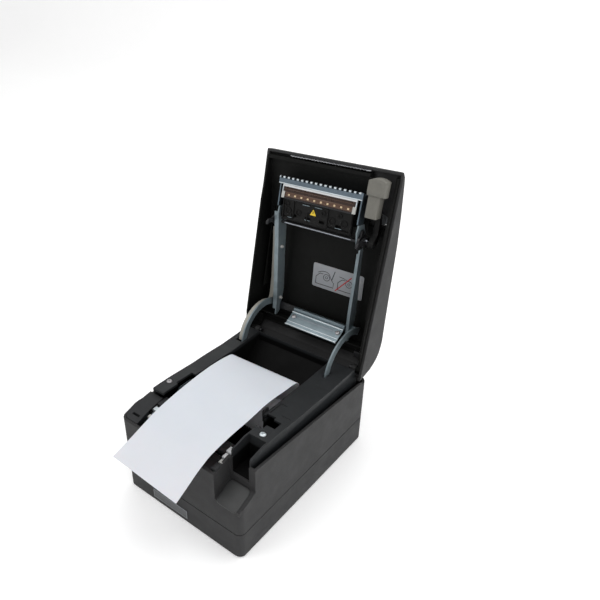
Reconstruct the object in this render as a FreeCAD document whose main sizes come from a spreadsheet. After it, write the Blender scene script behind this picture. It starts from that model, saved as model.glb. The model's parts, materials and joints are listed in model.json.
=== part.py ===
import FreeCAD, Part
import math
import os
import Sketcher
from FreeCAD import Vector

# Desktop receipt printer, 80 mm roll, lid standing open.
# Modelling coordinates: X to the printer's right, Y back from the front face,
# Z up from the table. The Placement of each piece then carries it to the shared
# frame, whose origin is the centre of the footprint on the table.
# Lid pieces are drawn in lid coordinates: x as above, s = distance from the
# hinge end (y = -s), t = outward from the rim (z = t). LID stands them up.

doc = FreeCAD.newDocument("receipt_printer")
sheet = doc.addObject("Spreadsheet::Sheet", "dims")
aliases = []
bindings = []
pieces = []


# ================================================================ SIZES
class Size:
    """A number together with the sheet formula it comes from."""

    def __init__(self, value, formula):
        self.value = float(value)
        self.formula = formula

    def __add__(self, other):
        other = as_size(other)
        return Size(self.value + other.value, "(%s + %s)" % (self.formula, other.formula))

    def __sub__(self, other):
        other = as_size(other)
        return Size(self.value - other.value, "(%s - %s)" % (self.formula, other.formula))

    def __truediv__(self, other):
        other = as_size(other)
        return Size(self.value / other.value, "(%s / %s)" % (self.formula, other.formula))

    def __neg__(self):
        return Size(-self.value, "(0 - %s)" % self.formula)

    def __radd__(self, other):
        return as_size(other) + self

    def __rsub__(self, other):
        return as_size(other) - self


def as_size(number):
    return number if isinstance(number, Size) else Size(number, repr(float(number)))


def dim(alias, value):
    """Put a value in the next sheet row and return it as a Size."""
    aliases.append(alias)
    row = len(aliases)
    sheet.set("A%d" % row, alias)
    sheet.set("B%d" % row, repr(float(value)))
    sheet.setAlias("B%d" % row, alias)
    return Size(value, "dims." + alias)


def named(alias, value):
    """A plain number gets its own cell; a formula keeps the one it has."""
    return value if isinstance(value, Size) else dim(alias, value)


def bind(obj, prop, size):
    bindings.append((obj, prop, size.formula))


# case
case_w = dim("case_w", 147)
case_d = dim("case_d", 213)
half_w = case_w / 2
wall = dim("wall", 2.5)
foot_h = dim("foot_h", 1.5)
split_z = dim("split_z", 31)
seam_gap = dim("seam_gap", 0.9)
corner_r = dim("corner_r", 7)
# lid and hinge
rim_slope = dim("rim_slope_deg", 8.88)
lid_edge_r = dim("lid_edge_r", 4.5)
lid_open = dim("lid_open_deg", 93.15)
pivot_y = dim("pivot_y", 208)
pivot_z = dim("pivot_z", 90)
rim_back = dim("rim_back", 7.15)
rim_drop = dim("rim_drop", 9.5)
hinge_pin_r = dim("hinge_pin_r", 2.5)
button_x = dim("button_x", 56)
button_y = dim("button_y", -163)
# paper path
mech_x = dim("mech_x", -2)
paper_w = dim("paper_w", 80)
paper_l = mech_x - paper_w / 2
paper_r = mech_x + paper_w / 2
bay_l = dim("bay_left", -50)
bay_r = dim("bay_right", 40)
platen_y = dim("platen_y", 33.5)
platen_z = dim("platen_z", 88.6)
platen_r = dim("platen_r", 7.4)
platen_shaft_r = dim("platen_shaft_r", 3)
roll_y = dim("roll_y", 112)
roll_z = dim("roll_z", 58.2)
roll_r = dim("roll_r", 28)
core_r = dim("core_r", 8.6)
web_thk = 0.25
# lid mechanism
arm_x = mech_x + dim("arm_out", 46.4)
steel_thk = dim("steel_thk", 1.6)
latch_s = dim("latch_shaft_s", 141)
latch_t = dim("latch_shaft_t", 1)
latch_r = dim("latch_shaft_r", 1.8)
head_s = dim("head_pivot_s", 150)
head_t = dim("head_pivot_t", 0)
head_pin_r = dim("head_pin_r", 1.5)
run_gap = dim("running_gap", 0.06)
# gear train
gear_mod = dim("gear_module", 0.6)
platen_teeth = dim("teeth_platen", 24)
idler_teeth = dim("teeth_idler", 30)
pinion_teeth = dim("teeth_pinion", 14)
gear_x0 = dim("gear_xa", -57)
gear_x1 = dim("gear_xb", -53.5)
idler_y = dim("idler_y", 39.5)
idler_r = dim("idler_stud_r", 1.5)

# Screw centres (x, y); the deck screws add the height of the head seat.
CASE_SCREWS = ((-62, 14), (62, 14), (-62, 199), (62, 199))
BOARD_SCREWS = ((-50, 80), (50, 80), (-50, 190), (50, 190))
DECK_SCREWS = ((-62.5, 60, 103.9), (56.5, 56, 104.2))

# ================================================================ FRAMES
BASE = FreeCAD.Placement(Vector(0, -case_d.value / 2, 0), FreeCAD.Rotation())

# Offset (y, z) of the lid origin from the hinge axis with the lid shut.
slope = math.radians(rim_slope.value)
rim_y = rim_back.value * math.cos(slope) - rim_drop.value * math.sin(slope)
rim_z = -rim_back.value * math.sin(slope) - rim_drop.value * math.cos(slope)


def lid_placement(open_deg):
    offset = FreeCAD.Rotation(Vector(1, 0, 0), -open_deg).multVec(Vector(0, rim_y, rim_z))
    return FreeCAD.Placement(
        Vector(0, pivot_y.value - case_d.value / 2 + offset.y, pivot_z.value + offset.z),
        FreeCAD.Rotation(Vector(1, 0, 0), -rim_slope.value - open_deg))


def shut_lid_point(s, t):
    """Where a point of the shut lid stands, in modelling coordinates (y, z)."""
    return (pivot_y.value + rim_y - s * math.cos(slope) + t * math.sin(slope),
            pivot_z.value + rim_z + s * math.sin(slope) + t * math.cos(slope))


LID = lid_placement(lid_open.value)

# ================================================================ SHAPES
AXIS_ROTATION = {"z": FreeCAD.Rotation(),
                 "x": FreeCAD.Rotation(Vector(0, 1, 0), 90),
                 "y": FreeCAD.Rotation(Vector(1, 0, 0), -90)}


def set_size(obj, prop, size):
    setattr(obj, prop, size.value)
    bind(obj, prop, size)


def set_place(obj, x, y, z, rotation):
    obj.Placement = FreeCAD.Placement(Vector(x.value, y.value, z.value), rotation)
    bind(obj, "Placement.Base.x", x)
    bind(obj, "Placement.Base.y", y)
    bind(obj, "Placement.Base.z", z)


def box(name, *limits):
    """Box from x0, x1, y0, y1, z0, z1."""
    suffixes = ("xa", "xb", "ya", "yb", "za", "zb")
    x0, x1, y0, y1, z0, z1 = [named(name + "_" + k, v) for k, v in zip(suffixes, limits)]
    obj = doc.addObject("Part::Box", name)
    set_size(obj, "Length", x1 - x0)
    set_size(obj, "Width", y1 - y0)
    set_size(obj, "Height", z1 - z0)
    set_place(obj, x0, y0, z0, AXIS_ROTATION["z"])
    return obj


def boxes(name, rows):
    """Numbered boxes, one for each row of limits."""
    return [box("%s%d" % (name, i), *row) for i, row in enumerate(rows)]


def cyl(name, axis, *sizes):
    """Cylinder along an axis from u, v, start, end, radius; u and v are the
    two other coordinates in order."""
    suffixes = ("cu", "cv", "aa", "ab", "rad")
    u, v, start, end, radius = [named(name + "_" + k, q) for k, q in zip(suffixes, sizes)]
    obj = doc.addObject("Part::Cylinder", name)
    set_size(obj, "Radius", radius)
    set_size(obj, "Height", end - start)
    x, y, z = {"x": (start, u, v), "y": (u, start, v), "z": (u, v, start)}[axis]
    set_place(obj, x, y, z, AXIS_ROTATION[axis])
    return obj


def upright_cyls(name, centres, start, end, radius):
    """Equal vertical cylinders, one for each (x, y) centre."""
    return [cyl("%s%d" % (name, i), "z", x, y, start, end, radius)
            for i, (x, y) in enumerate(centres)]


def round_edges(body, index, picks, radius):
    """Fillet the edges of the body's tip for which picks(edge) is true."""
    doc.recompute()
    radius = named("%s_soft%d" % (body.Name, index), radius)
    base = body.Tip
    edges = ["Edge%d" % (i + 1) for i, edge in enumerate(base.Shape.Edges) if picks(edge)]
    fillet = body.newObject("PartDesign::Fillet", "%s_fl%d" % (body.Name, index))
    fillet.Base = (base, edges)
    fillet.Radius = radius.value
    body.Tip = fillet
    doc.recompute()
    # Guards against a radius the kernel cannot roll: the edges then stay sharp.
    if "Invalid" in fillet.State or fillet.Shape.isNull():
        body.Tip = base
        body.removeObject(fillet)
        doc.removeObject(fillet.Name)
    else:
        bind(fillet, "Radius", radius)


def prism(name, plane, points, start, end, flip=False, fillets=()):
    """Body with one padded sketch. Plane YZ pads along X, XY along Z and XZ
    along Y, each from start to end. flip negates the first coordinate.
    fillets lists (edge picker, radius)."""
    start, end = named(name + "_from", start), named(name + "_to", end)
    body = doc.addObject("PartDesign::Body", name)
    sketch = body.newObject("Sketcher::SketchObject", name + "_sk")
    support = [f for f in body.Origin.OriginFeatures if f.Role == plane + "_Plane"][0]
    sketch.AttachmentSupport = (support, "")
    sketch.MapMode = "FlatFace"
    corners = []
    for i, (u, v) in enumerate(points):
        u, v = named("%s_u%d" % (name, i), u), named("%s_v%d" % (name, i), v)
        corners.append((-u if flip else u, v))
    count = len(corners)
    for i in range(count):
        (u0, v0), (u1, v1) = corners[i], corners[(i + 1) % count]
        line = Part.LineSegment(Vector(u0.value, v0.value, 0), Vector(u1.value, v1.value, 0))
        sketch.addGeometry(line, False)
    for i in range(count):
        sketch.addConstraint(Sketcher.Constraint("Coincident", i, 2, (i + 1) % count, 1))
    for i, (u, v) in enumerate(corners):
        for kind, size in (("DistanceX", u), ("DistanceY", v)):
            k = sketch.addConstraint(Sketcher.Constraint(kind, -1, 1, i, 1, size.value))
            bind(sketch, "Constraints[%d]" % k, size)
    # The XZ plane faces -Y, so its offset and pad direction are turned round.
    offset = -start if plane == "XZ" else start
    sketch.AttachmentOffset = FreeCAD.Placement(Vector(0, 0, offset.value), FreeCAD.Rotation())
    bind(sketch, "AttachmentOffset.Base.z", offset)
    pad = body.newObject("PartDesign::Pad", name + "_pad")
    pad.Profile = sketch
    pad.Reversed = plane == "XZ"
    set_size(pad, "Length", end - start)
    body.Tip = pad
    for index, (picks, radius) in enumerate(fillets):
        round_edges(body, index, picks, radius)
    return body


def lid_box(name, x0, x1, s0, s1, t0, t1):
    s0, s1 = named(name + "_sa", s0), named(name + "_sb", s1)
    return box(name, x0, x1, -s1, -s0, t0, t1)


def lid_cyl(name, s, t, x0, x1, radius):
    return cyl(name, "x", -named(name + "_sc", s), t, x0, x1, radius)


def lid_prism(name, points, x0, x1, fillets=()):
    """Outline of (s, t) points padded along X."""
    return prism(name, "YZ", points, x0, x1, flip=True, fillets=fillets)


def fuse(name, shapes):
    if len(shapes) == 1:
        return shapes[0]
    obj = doc.addObject("Part::MultiFuse", name)
    obj.Shapes = shapes
    obj.Refine = True
    return obj


def cut(name, base, tools):
    obj = doc.addObject("Part::Cut", name)
    obj.Base = base
    obj.Tool = fuse(name + "_tools", tools)
    obj.Refine = True
    return obj


def screw(name, x, y, shank, head):
    """Upright screw; shank and head are each (z0, z1, radius)."""
    return fuse(name, [cyl(name + "_shank", "z", x, y, *shank),
                       cyl(name + "_head", "z", x, y, *head)])


def piece(label, built, frame=BASE):
    """Label a finished piece. A list, or a primitive whose own Placement is
    bound to the sheet, is first wrapped in a compound."""
    if not isinstance(built, list) and built.TypeId in ("Part::Box", "Part::Cylinder"):
        built = [built]
    if isinstance(built, list):
        compound = doc.addObject("Part::Compound", label + "_set")
        compound.Links = built
        built = compound
    built.Label = label
    pieces.append((label, built, frame))


def is_upright(edge):
    bounds = edge.BoundBox
    return bounds.ZLength >= 5 and bounds.XLength <= 0.01 and bounds.YLength <= 0.01


def along_x(accepts):
    """Picker of edges along X whose centre is accepted."""
    def picks(edge):
        bounds = edge.BoundBox
        return (bounds.XLength > 10 and bounds.YLength < 0.01 and bounds.ZLength < 0.01
                and accepts(bounds.Center))
    return picks


# ================================================================ CASE
low_top = split_z - seam_gap / 2
up_bottom = split_z + seam_gap / 2


def case_block(name, inset, z0, z1):
    """Block on the case footprint moved in by inset, with rounded corners."""
    side, back = half_w - inset, case_d - inset
    return prism(name, "XY", [(-side, inset), (side, inset), (side, back), (-side, back)],
                 z0, z1, fillets=[(is_upright, corner_r - inset)])


# Lower case: tray with a tongue that stands up inside the seam.
tongue_out = dim("tongue_out", 3)
tongue_in = dim("tongue_in", 4.4)
tray = cut("tray", case_block("tray_out", 0, foot_h, low_top),
           [case_block("tray_in", wall, foot_h + wall, split_z + 5)])
tongue = cut("tongue", case_block("tongue_o", tongue_out, split_z - 6, split_z + 2.6),
             [case_block("tongue_i", tongue_in, split_z - 8, split_z + 4)])
# Strips joining the tongue to the left, right and front walls.
tongue_roots = boxes("tongue_root", (
    (wall - half_w - 0.2, tongue_in - half_w, 12, case_d - 12, split_z - 6, split_z - 3),
    (half_w - tongue_in, half_w - wall + 0.2, 12, case_d - 12, split_z - 6, split_z - 3),
    (-60, 60, wall - 0.2, tongue_in, split_z - 6, split_z - 3)))
bosses = upright_cyls("boss", CASE_SCREWS, foot_h + 1, 26, 4)
posts = upright_cyls("post", BOARD_SCREWS, foot_h + 1, 9, 3)
low_holes = upright_cyls("boss_hole", CASE_SCREWS, foot_h - 1, 30, 1.6)
low_holes += upright_cyls("boss_seat", CASE_SCREWS, 0, foot_h + 3, 3.2)
low_holes += upright_cyls("post_hole", BOARD_SCREWS, 4, 12, 1.2)
low_holes += boxes("port_cut", [
    (x0, x1, case_d - 6, case_d + 1, z0, z1) for x0, x1, z0, z1 in
    ((-60, -4, 8, 27), (18, 34.4, 10.2, 25.2), (40, 54.4, 10.2, 24.2))])
low_holes += boxes("vent", [(-30 + 12 * i, -22 + 12 * i, 120, 160, 0, 6) for i in range(6)])
piece("lower_case", cut("lower_cut", fuse("lower_solid", [tray, tongue] + tongue_roots
                                          + bosses + posts), low_holes))

# Upper case: four walls with a sloping top edge, a notch at the right front.
side_outline = [  # y, z
    (0, up_bottom), (case_d, up_bottom), (case_d, 79.2), (150, 85.4), (80, 91.6),
    (26, 96.4), (21, 96.4), (10, 93.4), (0, 91.5)]
up_out = prism("up_out", "YZ", side_outline, -half_w, half_w,
               fillets=[(is_upright, corner_r)])
up_in = prism("up_in", "YZ", [(wall, 20), (case_d - wall, 20), (case_d - wall, 140), (wall, 140)],
              wall - half_w, half_w - wall, fillets=[(is_upright, corner_r - wall)])
notch_wall = prism("notch_wall", "YZ",
                   [(0.6, 57), (24.6, 66.5), (24.6, 96.3), (21, 96.3), (10, 93.4), (0.6, 91.6)],
                   42.8, half_w - 1)
notch_cut = prism("notch_cut", "YZ", [(-2, 60.4), (22.1, 70.2), (22.1, 140), (-2, 140)],
                  45.3, half_w + 4)
up_walls = fuse("up_walls", [cut("up_shell", up_out, [up_in]), notch_wall])
upper = cut("upper_cut", up_walls, [
    notch_cut,
    box("notch_back", 46.9, 66.6, 20, 26, 78, 120),
    box("rear_gap", -66, 66, case_d - 3, case_d + 1, 77.5, 100),
    box("switch_cut", -half_w - 1, -half_w + 4, 28, 42, 46, 68)])
upper = cut("upper_relief", upper, [cyl("hinge_relief", "x", pivot_y, pivot_z, -80, 80, 12.3)])
hinge_brackets = []
bracket_outline = [  # y, z
    (203.6, 66), (210.8, 66), (210.8, 77), (212, 88), (212, 91), (203.8, 91), (203.6, 84)]
for i, (x0, x1) in enumerate(((-63.4, -58.4), (58.4, 63.4))):
    eye = cyl("hinge_eye%d" % i, "x", pivot_y, pivot_z, x0, x1, 4.2)
    leg = prism("hinge_leg%d" % i, "YZ", bracket_outline, x0, x1)
    bore = cyl("hinge_bore%d" % i, "x", pivot_y, pivot_z, x0 - 1, x1 + 1, hinge_pin_r)
    hinge_brackets.append(cut("hinge_bracket%d" % i,
                              fuse("hinge_bracket_solid%d" % i, [eye, leg]), [bore]))
piece("upper_case", fuse("upper_all", [upper] + hinge_brackets))

piece("rubber_feet", upright_cyls("foot", ((-52, 16), (52, 16), (-52, 197), (52, 197)),
                                  0, foot_h, 6))
piece("case_screws", [
    screw("case_screw%d" % i, x, y, (foot_h + 3, 24, 1.6), (foot_h + 0.6, foot_h + 3, 3))
    for i, (x, y) in enumerate(CASE_SCREWS)])
piece("nameplate", prism("nameplate_b", "XZ", [(-37, 6.2), (8.8, 6.2), (8.8, 17.6), (-37, 17.6)],
                         -0.5, 0))

# ================================================================ PAPER DECK
deck_out_outline = [  # y, z
    (24.8, 80), (24.8, 103.2), (43, 106), (67, 104.9), (99, 102), (124, 100.9),
    (150, 98.8), (196.5, 98.2), (201.5, 81), (201.5, 76), (190, 76), (180, 80)]
deck_in_outline = [
    (27.3, 70), (27.3, 100.9), (43.5, 103.5), (67, 102.4), (99, 99.5), (124, 98.4),
    (150, 96.3), (194.6, 95.7), (199, 80.5), (199, 70)]
deck_out = prism("deck_out", "YZ", deck_out_outline, -67, 67,
                 fillets=[(along_x(lambda c: c.z > 97 and c.y > 190), 2.5),
                          (along_x(lambda c: c.z > 97 and c.y < 30), 2.5)])
deck_in = prism("deck_in", "YZ", deck_in_outline, -64.5, 64.5)
# Bucket for the roll: a round bottom joined to a sloping back.
bucket_round = cyl("bucket_round", "x", roll_y, 71.5, bay_l - 2, bay_r + 2, 43.5)
bucket_back = prism("bucket_back", "YZ",
                    [(68.5, 71.5), (68.5, 98), (196, 96), (196, 86.6), (151.3, 50.3), (112, 71.5)],
                    bay_l - 2, bay_r + 2)
bucket_in_round = cyl("bucket_in_round", "x", roll_y, 71.5, bay_l, bay_r, 41.5)
bucket_in_back = prism("bucket_in_back", "YZ",
                       [(70.5, 71.5), (70.5, 130), (194, 130), (194, 88), (150, 52.4),
                        (112, 71.5)], bay_l, bay_r)
bucket_top = box("bucket_top", bay_l - 3, bay_r + 3, 60, 165, 98, 130)
deck_shell = cut("deck_shell", deck_out, [deck_in])
bucket = cut("bucket", fuse("bucket_solid", [bucket_round, bucket_back]), [bucket_top])
deck_cuts = [bucket_in_round, bucket_in_back] + [box(*row) for row in (
    ("mech_hole", bay_l - 2.6, 45.3, 20, 68.4, 60, 130),
    ("mech_top", bay_l, bay_r, 60, 72, 88, 130),
    ("lever_slot", 46.8, 65.4, 20, 49, 60, 130),
    ("corner_hole", -68, bay_l - 2.4, 20, 41, 60, 130),
    ("latch_slot_l", -55, bay_l + 0.5, 62, 86, 84, 130),
    ("latch_slot_r", 42.1, 52, 62, 83, 84, 130),
    ("shaft_slot_r", bay_r - 0.5, 60.6, 68.2, 79.2, 84, 130),
    ("stay_slot_l", -61, -52.2, 166, 177.2, 90, 110),
    ("stay_slot_r", 48.4, 52, 166, 177.2, 90, 110),
    ("groove_a", 54, 64, 88.4, 89.2, 102.2, 130),
    ("groove_b", 42.8, 43.8, 86, 104, 101.4, 130),
    ("groove_c", 42.8, 50, 103.2, 104, 101, 130))]
deck_cuts += upright_cyls("deck_hole", [(x, y) for x, y, seat_z in DECK_SCREWS], 90, 110, 1.7)
deck_cuts += [cyl("deck_seat%d" % i, "z", x, y, seat_z, 110, 3.6)
              for i, (x, y, seat_z) in enumerate(DECK_SCREWS)]
# Walls round the lever slot: left, back, right and front.
lever_well = boxes("lever_well", (
    (45.5, 46.9, 25.2, 50.4, 77, 104.2), (45.5, 65.6, 49, 50.4, 77, 104.2),
    (65.3, 66.6, 25.2, 50.4, 77, 98), (45.5, 66.6, 25.2, 50.4, 76, 77.6)))
deck = cut("deck_cut", fuse("deck_solid", [deck_shell, bucket]), deck_cuts)
piece("paper_deck", fuse("deck_all", [deck] + lever_well))
piece("deck_screws", [
    screw("deck_screw%d" % i, x, y, (92, seat_z, 1.5), (seat_z, seat_z + 1.8, 3.2))
    for i, (x, y, seat_z) in enumerate(DECK_SCREWS)])


def is_front_left_upright(edge):
    return is_upright(edge) and edge.BoundBox.Center.y < 5 and edge.BoundBox.Center.x < -65


corner = prism("corner_solid", "YZ",
               [(2.9, 82), (2.9, 92.4), (10, 94.6), (22, 97.8), (32, 99.4), (40.4, 100),
                (40.4, 82)], -70.6, -53.2, fillets=[(is_front_left_upright, 4.5)])
piece("corner_cover", cut("corner_cut", corner, [
    box("corner_slot", -66, -57, 9, 11.4, 90, 110),
    box("corner_in_front", -68.6, -55.2, 5, 21, 80, 90),
    box("corner_in_back", -69.2, -50, 20, 42, 80, 96.7)]))
piece("exit_guide", prism("exit_guide_b", "YZ", [(2.8, 88.9), (2.8, 91), (16, 92), (20.8, 92),
                                                 (20.8, 89.9), (16, 89.9)], -49.4, 42.4))

# ================================================================ MECHANISM
# Chassis: two side plates on a floor.
chassis = fuse("chassis_solid", [
    prism("chassis_left", "YZ", [(17, 38), (66, 38), (66, 78), (58, 92), (44, 94), (24, 94),
                                 (17, 90)], -51.7, -50.2),
    prism("chassis_right", "YZ", [(25.4, 38), (66, 38), (66, 78), (58, 92), (44, 94),
                                  (25.4, 94)], 42.4, 43.6),
    box("chassis_floor", -51.7, 43.6, 17, 66, 38, 39.5)])
piece("mech_chassis", cut("chassis_cut", chassis, [
    cyl("chassis_bore", "x", platen_y, platen_z, -60, 60, 5),
    box("chassis_open", -60, 60, platen_y - 4.2, platen_y + 4.2, platen_z, 96),
    cyl("chassis_motor_hole", "x", idler_y, 60.35, -60, -40, 6),
    cyl("chassis_idler_hole", "x", idler_y, 73.55, -60, -40, idler_r)]))

bushings = []
for i, (x0, x1) in enumerate(((-52.2, -47), (40.2, 44.4))):
    outer = cyl("bush_out%d" % i, "x", platen_y, platen_z, x0, x1, 4.98)
    bore = cyl("bush_in%d" % i, "x", platen_y, platen_z, x0 - 1, x1 + 1,
               platen_shaft_r + run_gap)
    bushings.append(cut("bush%d" % i, outer, [bore]))
piece("platen_bushings", bushings)
piece("platen_roller", cut(
    "roller_cut", cyl("roller_out", "x", platen_y, platen_z, paper_l - 1, paper_r + 1, platen_r),
    [cyl("roller_in", "x", platen_y, platen_z, -60, 60, platen_shaft_r)]))
piece("platen_shaft", cyl("shaft_rod", "x", platen_y, platen_z, -58, 45, platen_shaft_r))


# Gear train: the idler hangs below the platen gear and meshes with the pinion
# straight beneath it.
def gear_shape(teeth, centre_y, centre_z, bore, phase_deg):
    """Involute spur gear about X; phase is the angle of one tooth centre."""
    count = int(teeth.value)
    module = gear_mod.value
    pressure = math.radians(20)
    pitch_r = module * count / 2.0
    base_r = pitch_r * math.cos(pressure)
    tip_r = pitch_r + 0.85 * module
    root_r = pitch_r - 1.25 * module
    # Half a tooth at the pitch circle, less the backlash.
    half_tooth = math.pi / (2 * count) - 0.12 * module / pitch_r / 2 - 0.02 / pitch_r

    def involute(angle):
        return math.tan(angle) - angle

    def half_angle(radius):
        if radius <= base_r:
            return half_tooth + involute(pressure)
        return half_tooth + involute(pressure) - involute(math.acos(base_r / radius))

    flank_r = max(base_r, root_r)
    radii = [root_r] + [flank_r + (tip_r - flank_r) * k / 4.0 for k in range(5)]
    polar = []
    for i in range(count):
        centre = math.radians(phase_deg) + 2 * math.pi * i / count
        polar += [(radius, centre - half_angle(radius)) for radius in radii]
        polar += [(radius, centre + half_angle(radius)) for radius in reversed(radii)]
    x0, width = gear_x0.value, gear_x1.value - gear_x0.value
    points = [Vector(x0, centre_y + radius * math.cos(angle), centre_z + radius * math.sin(angle))
              for radius, angle in polar]
    face = Part.Face(Part.makePolygon(points + [points[0]]))
    solid = face.extrude(Vector(width, 0, 0))
    if bore > 0:
        solid = solid.cut(Part.makeCylinder(bore, width + 2, Vector(x0 - 1, centre_y, centre_z),
                                            Vector(1, 0, 0)))
    return solid.Solids[0]


def gear_piece(label, shape):
    feature = doc.addObject("Part::Feature", label + "_solid")
    feature.Shape = shape
    piece(label, feature)


gear_dy = idler_y.value - platen_y.value
centre_gap = gear_mod.value * (platen_teeth.value + idler_teeth.value) / 2
idler_z = dim("idler_z", platen_z.value - math.sqrt(centre_gap ** 2 - gear_dy ** 2))
pinion_z = dim("pinion_z", idler_z.value
               - gear_mod.value * (idler_teeth.value + pinion_teeth.value) / 2)
# Phases in degrees that put a tooth of one gear in a gap of the next.
platen_phase = math.degrees(math.atan2(idler_z.value - platen_z.value, gear_dy))
idler_phase = platen_phase + 180 + 180.0 / idler_teeth.value
down = -90.0
past_tooth = (down - idler_phase) % (360.0 / idler_teeth.value)
pinion_phase = (down + 180 + 180.0 / pinion_teeth.value
                + past_tooth * idler_teeth.value / pinion_teeth.value)
gear_piece("platen_gear", gear_shape(platen_teeth, platen_y.value, platen_z.value,
                                     platen_shaft_r.value, platen_phase))
gear_piece("idler_gear", gear_shape(idler_teeth, idler_y.value, idler_z.value,
                                    idler_r.value + run_gap.value, idler_phase))
motor_shaft = Part.makeCylinder(1.0, 26.6, Vector(-57.6, idler_y.value, pinion_z.value),
                                Vector(1, 0, 0))
gear_piece("motor_pinion", gear_shape(pinion_teeth, idler_y.value, pinion_z.value, 0,
                                      pinion_phase).fuse(motor_shaft).Solids[0])
piece("idler_stud", fuse("stud_solid", [
    cyl("stud_pin", "x", idler_y, idler_z, -57.6, -50.2, idler_r),
    cyl("stud_head", "x", idler_y, idler_z, -58.6, -57.6, 2.6)]))

motor = fuse("feed_motor_solid", [
    cyl("feed_motor_can", "x", idler_y, pinion_z, -50, -31, 16.5),
    cyl("feed_motor_neck", "x", idler_y, pinion_z, -52.6, -49, 4.5),
    box("feed_motor_flange", -50.2, -49, 18, 61, 56, 64)])
piece("feed_motor", cut("feed_motor_cut", motor, [
    cyl("feed_motor_bore", "x", idler_y, pinion_z, -60, -31, 1 + run_gap)]))

cover = prism("gear_cover_out", "YZ", [(22, 50), (56, 50), (56, 84), (46, 94), (22, 94)],
              -61.5, -52.6)
piece("gear_cover", cut("gear_cover_cut", cover, [
    prism("gear_cover_in", "YZ",
          [(23.6, 51.6), (54.4, 51.6), (54.4, 83.4), (45.4, 92.4), (23.6, 92.4)], -60, -50),
    cyl("gear_cover_bore", "x", platen_y, platen_z, -62, -50, 5.2),
    box("gear_cover_open", -65, -51, platen_y - 8.4, platen_y + 8.4, platen_z, 96)]))

# Cutter
piece("cutter_housing", cut("cutter_housing_cut",
                            box("cutter_housing_out", -46, 42, 4, 19.6, 62, 88.7),
                            [box("cutter_housing_in", -44, 40, 6, 17.6, 60, 86.5)]))
piece("cutter_motor", fuse("cutter_motor_solid", [
    cyl("cutter_motor_can", "x", 11.8, 76, -12, 22, 5.6),
    cyl("cutter_motor_shaft", "x", 11.8, 76, 22, 32, 1)]))
piece("cutter_blade", prism("cutter_blade_b", "XZ", [
    (-38, 62), (34, 62), (34, 89.6), (16, 88.2), (-2, 87.2), (-20, 88.2), (-38, 89.6)], 21, 22))

# Latch plates, each with a stud placed from the shut lid.
stud_y, stud_z = shut_lid_point(136.3, -11)
stud_y, stud_z = dim("stud_y", stud_y), dim("stud_z", stud_z)
latch_outline = [(64, 34.5), (90, 34.5), (90, 92), (84, 94.5), (68, 94.5), (64, 90)]  # y, z
latch_plates = []
# plate x0, x1, then stud x0, x1
for i, (plate_x0, plate_x1, stud_x0, stud_x1) in enumerate((
        (-57.4, -55.9, -57.4, -50.6), (62.2, 63.7, 48.6, 63.7))):
    plate = prism("latch_plate%d" % i, "YZ", latch_outline, plate_x0, plate_x1)
    stud = cyl("latch_stud%d" % i, "x", stud_y, stud_z, stud_x0, stud_x1, 2)
    latch_plates.append(fuse("latch_plate_solid%d" % i, [plate, stud]))
piece("latch_plates", latch_plates)

# Power rocker in the left wall
rocker_x = dim("rocker_pin_x", -70)
rocker_z = dim("rocker_pin_z", 57)
rocker_pin_r = dim("rocker_pin_r", 1.3)
piece("rocker_frame", cut(
    "rocker_frame_cut",
    fuse("rocker_frame_solid", [
        box("rocker_bezel", -half_w - 0.9, -half_w, 26.6, 43.4, 44.6, 69.4),
        box("rocker_sleeve", -half_w, -half_w + 12, 28.1, 41.9, 46.1, 67.9)]),
    [box("rocker_opening", -half_w - 2, -half_w + 9.6, 30, 40, 48, 66),
     cyl("rocker_pin_hole", "y", rocker_x, rocker_z, 28.6, 41.4, rocker_pin_r + run_gap)]))
rocker = prism("rocker_key", "XZ", [
    (-half_w + 5.6, 49), (-half_w - 0.4, 49), (-half_w + 0.5, 57), (-half_w - 2.2, 65),
    (-half_w + 5.6, 65)], 30.3, 39.7)
piece("power_rocker", fuse("rocker_all", [
    rocker, cyl("rocker_pin", "y", rocker_x, rocker_z, 28.8, 41.2, rocker_pin_r)]))

# ================================================================ ELECTRONICS
board_top = dim("board_top", 10.6)
piece("main_board", cut("board_cut", box("board", -56, 58, 74, 196, 9, board_top),
                        upright_cyls("board_hole", BOARD_SCREWS, 5, 15, 1.3)))
piece("board_screws", [
    screw("board_screw%d" % i, x, y, (4.5, board_top, 1.2), (board_top, 12, 2.4))
    for i, (x, y) in enumerate(BOARD_SCREWS)])
board_parts = (  # x0, x1, y0, y1, top z
    (-20, 0, 100, 120, 12.8), (10, 24, 96, 110, 12.4), (-44, -32, 110, 128, 13),
    (34, 40, 120, 126, 15), (34, 44, 150, 158, 19), (-12, 4, 150, 156, 15),
    (30, 52, 88, 94, 14))
piece("board_parts", boxes("chip", [(x0, x1, y0, y1, board_top, top)
                                    for x0, x1, y0, y1, top in board_parts]))
piece("dc_inlet", cut("dc_cut", box("dc_body", 40.2, 54.2, 198, case_d + 0.6, 10.7, 24),
                      [cyl("dc_bore", "y", 47.2, 17.4, 201, case_d + 2, 4.6)]))
piece("drawer_jack", cut("jack_cut", box("jack_body", 18.2, 34.2, 197, case_d + 0.4, 10.7, 25), [
    box("jack_hole", 20.4, 32, 200, case_d + 2, 13.6, 21.4),
    box("jack_key", 23.4, 29, 200, case_d + 2, 12, 14)]))
piece("interface_plate", cut(
    "port_plate_cut", box("port_plate", -59.8, -4.2, case_d - 1.2, case_d, 8.2, 26.8),
    [box("port_plate_window", -42.2, -21.8, case_d - 3, case_d + 1, 12.8, 23.2),
     cyl("port_plate_hole_l", "y", -54.6, 17.5, 200, 220, 1.5),
     cyl("port_plate_hole_r", "y", -9.4, 17.5, 200, 220, 1.5)]))
piece("interface_port", cut("port_body_cut",
                            box("port_body", -42, -22, 197, case_d + 0.8, 13, 23),
                            [box("port_body_in", -40, -24, 203, case_d + 2, 14.6, 21.4)]))
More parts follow.
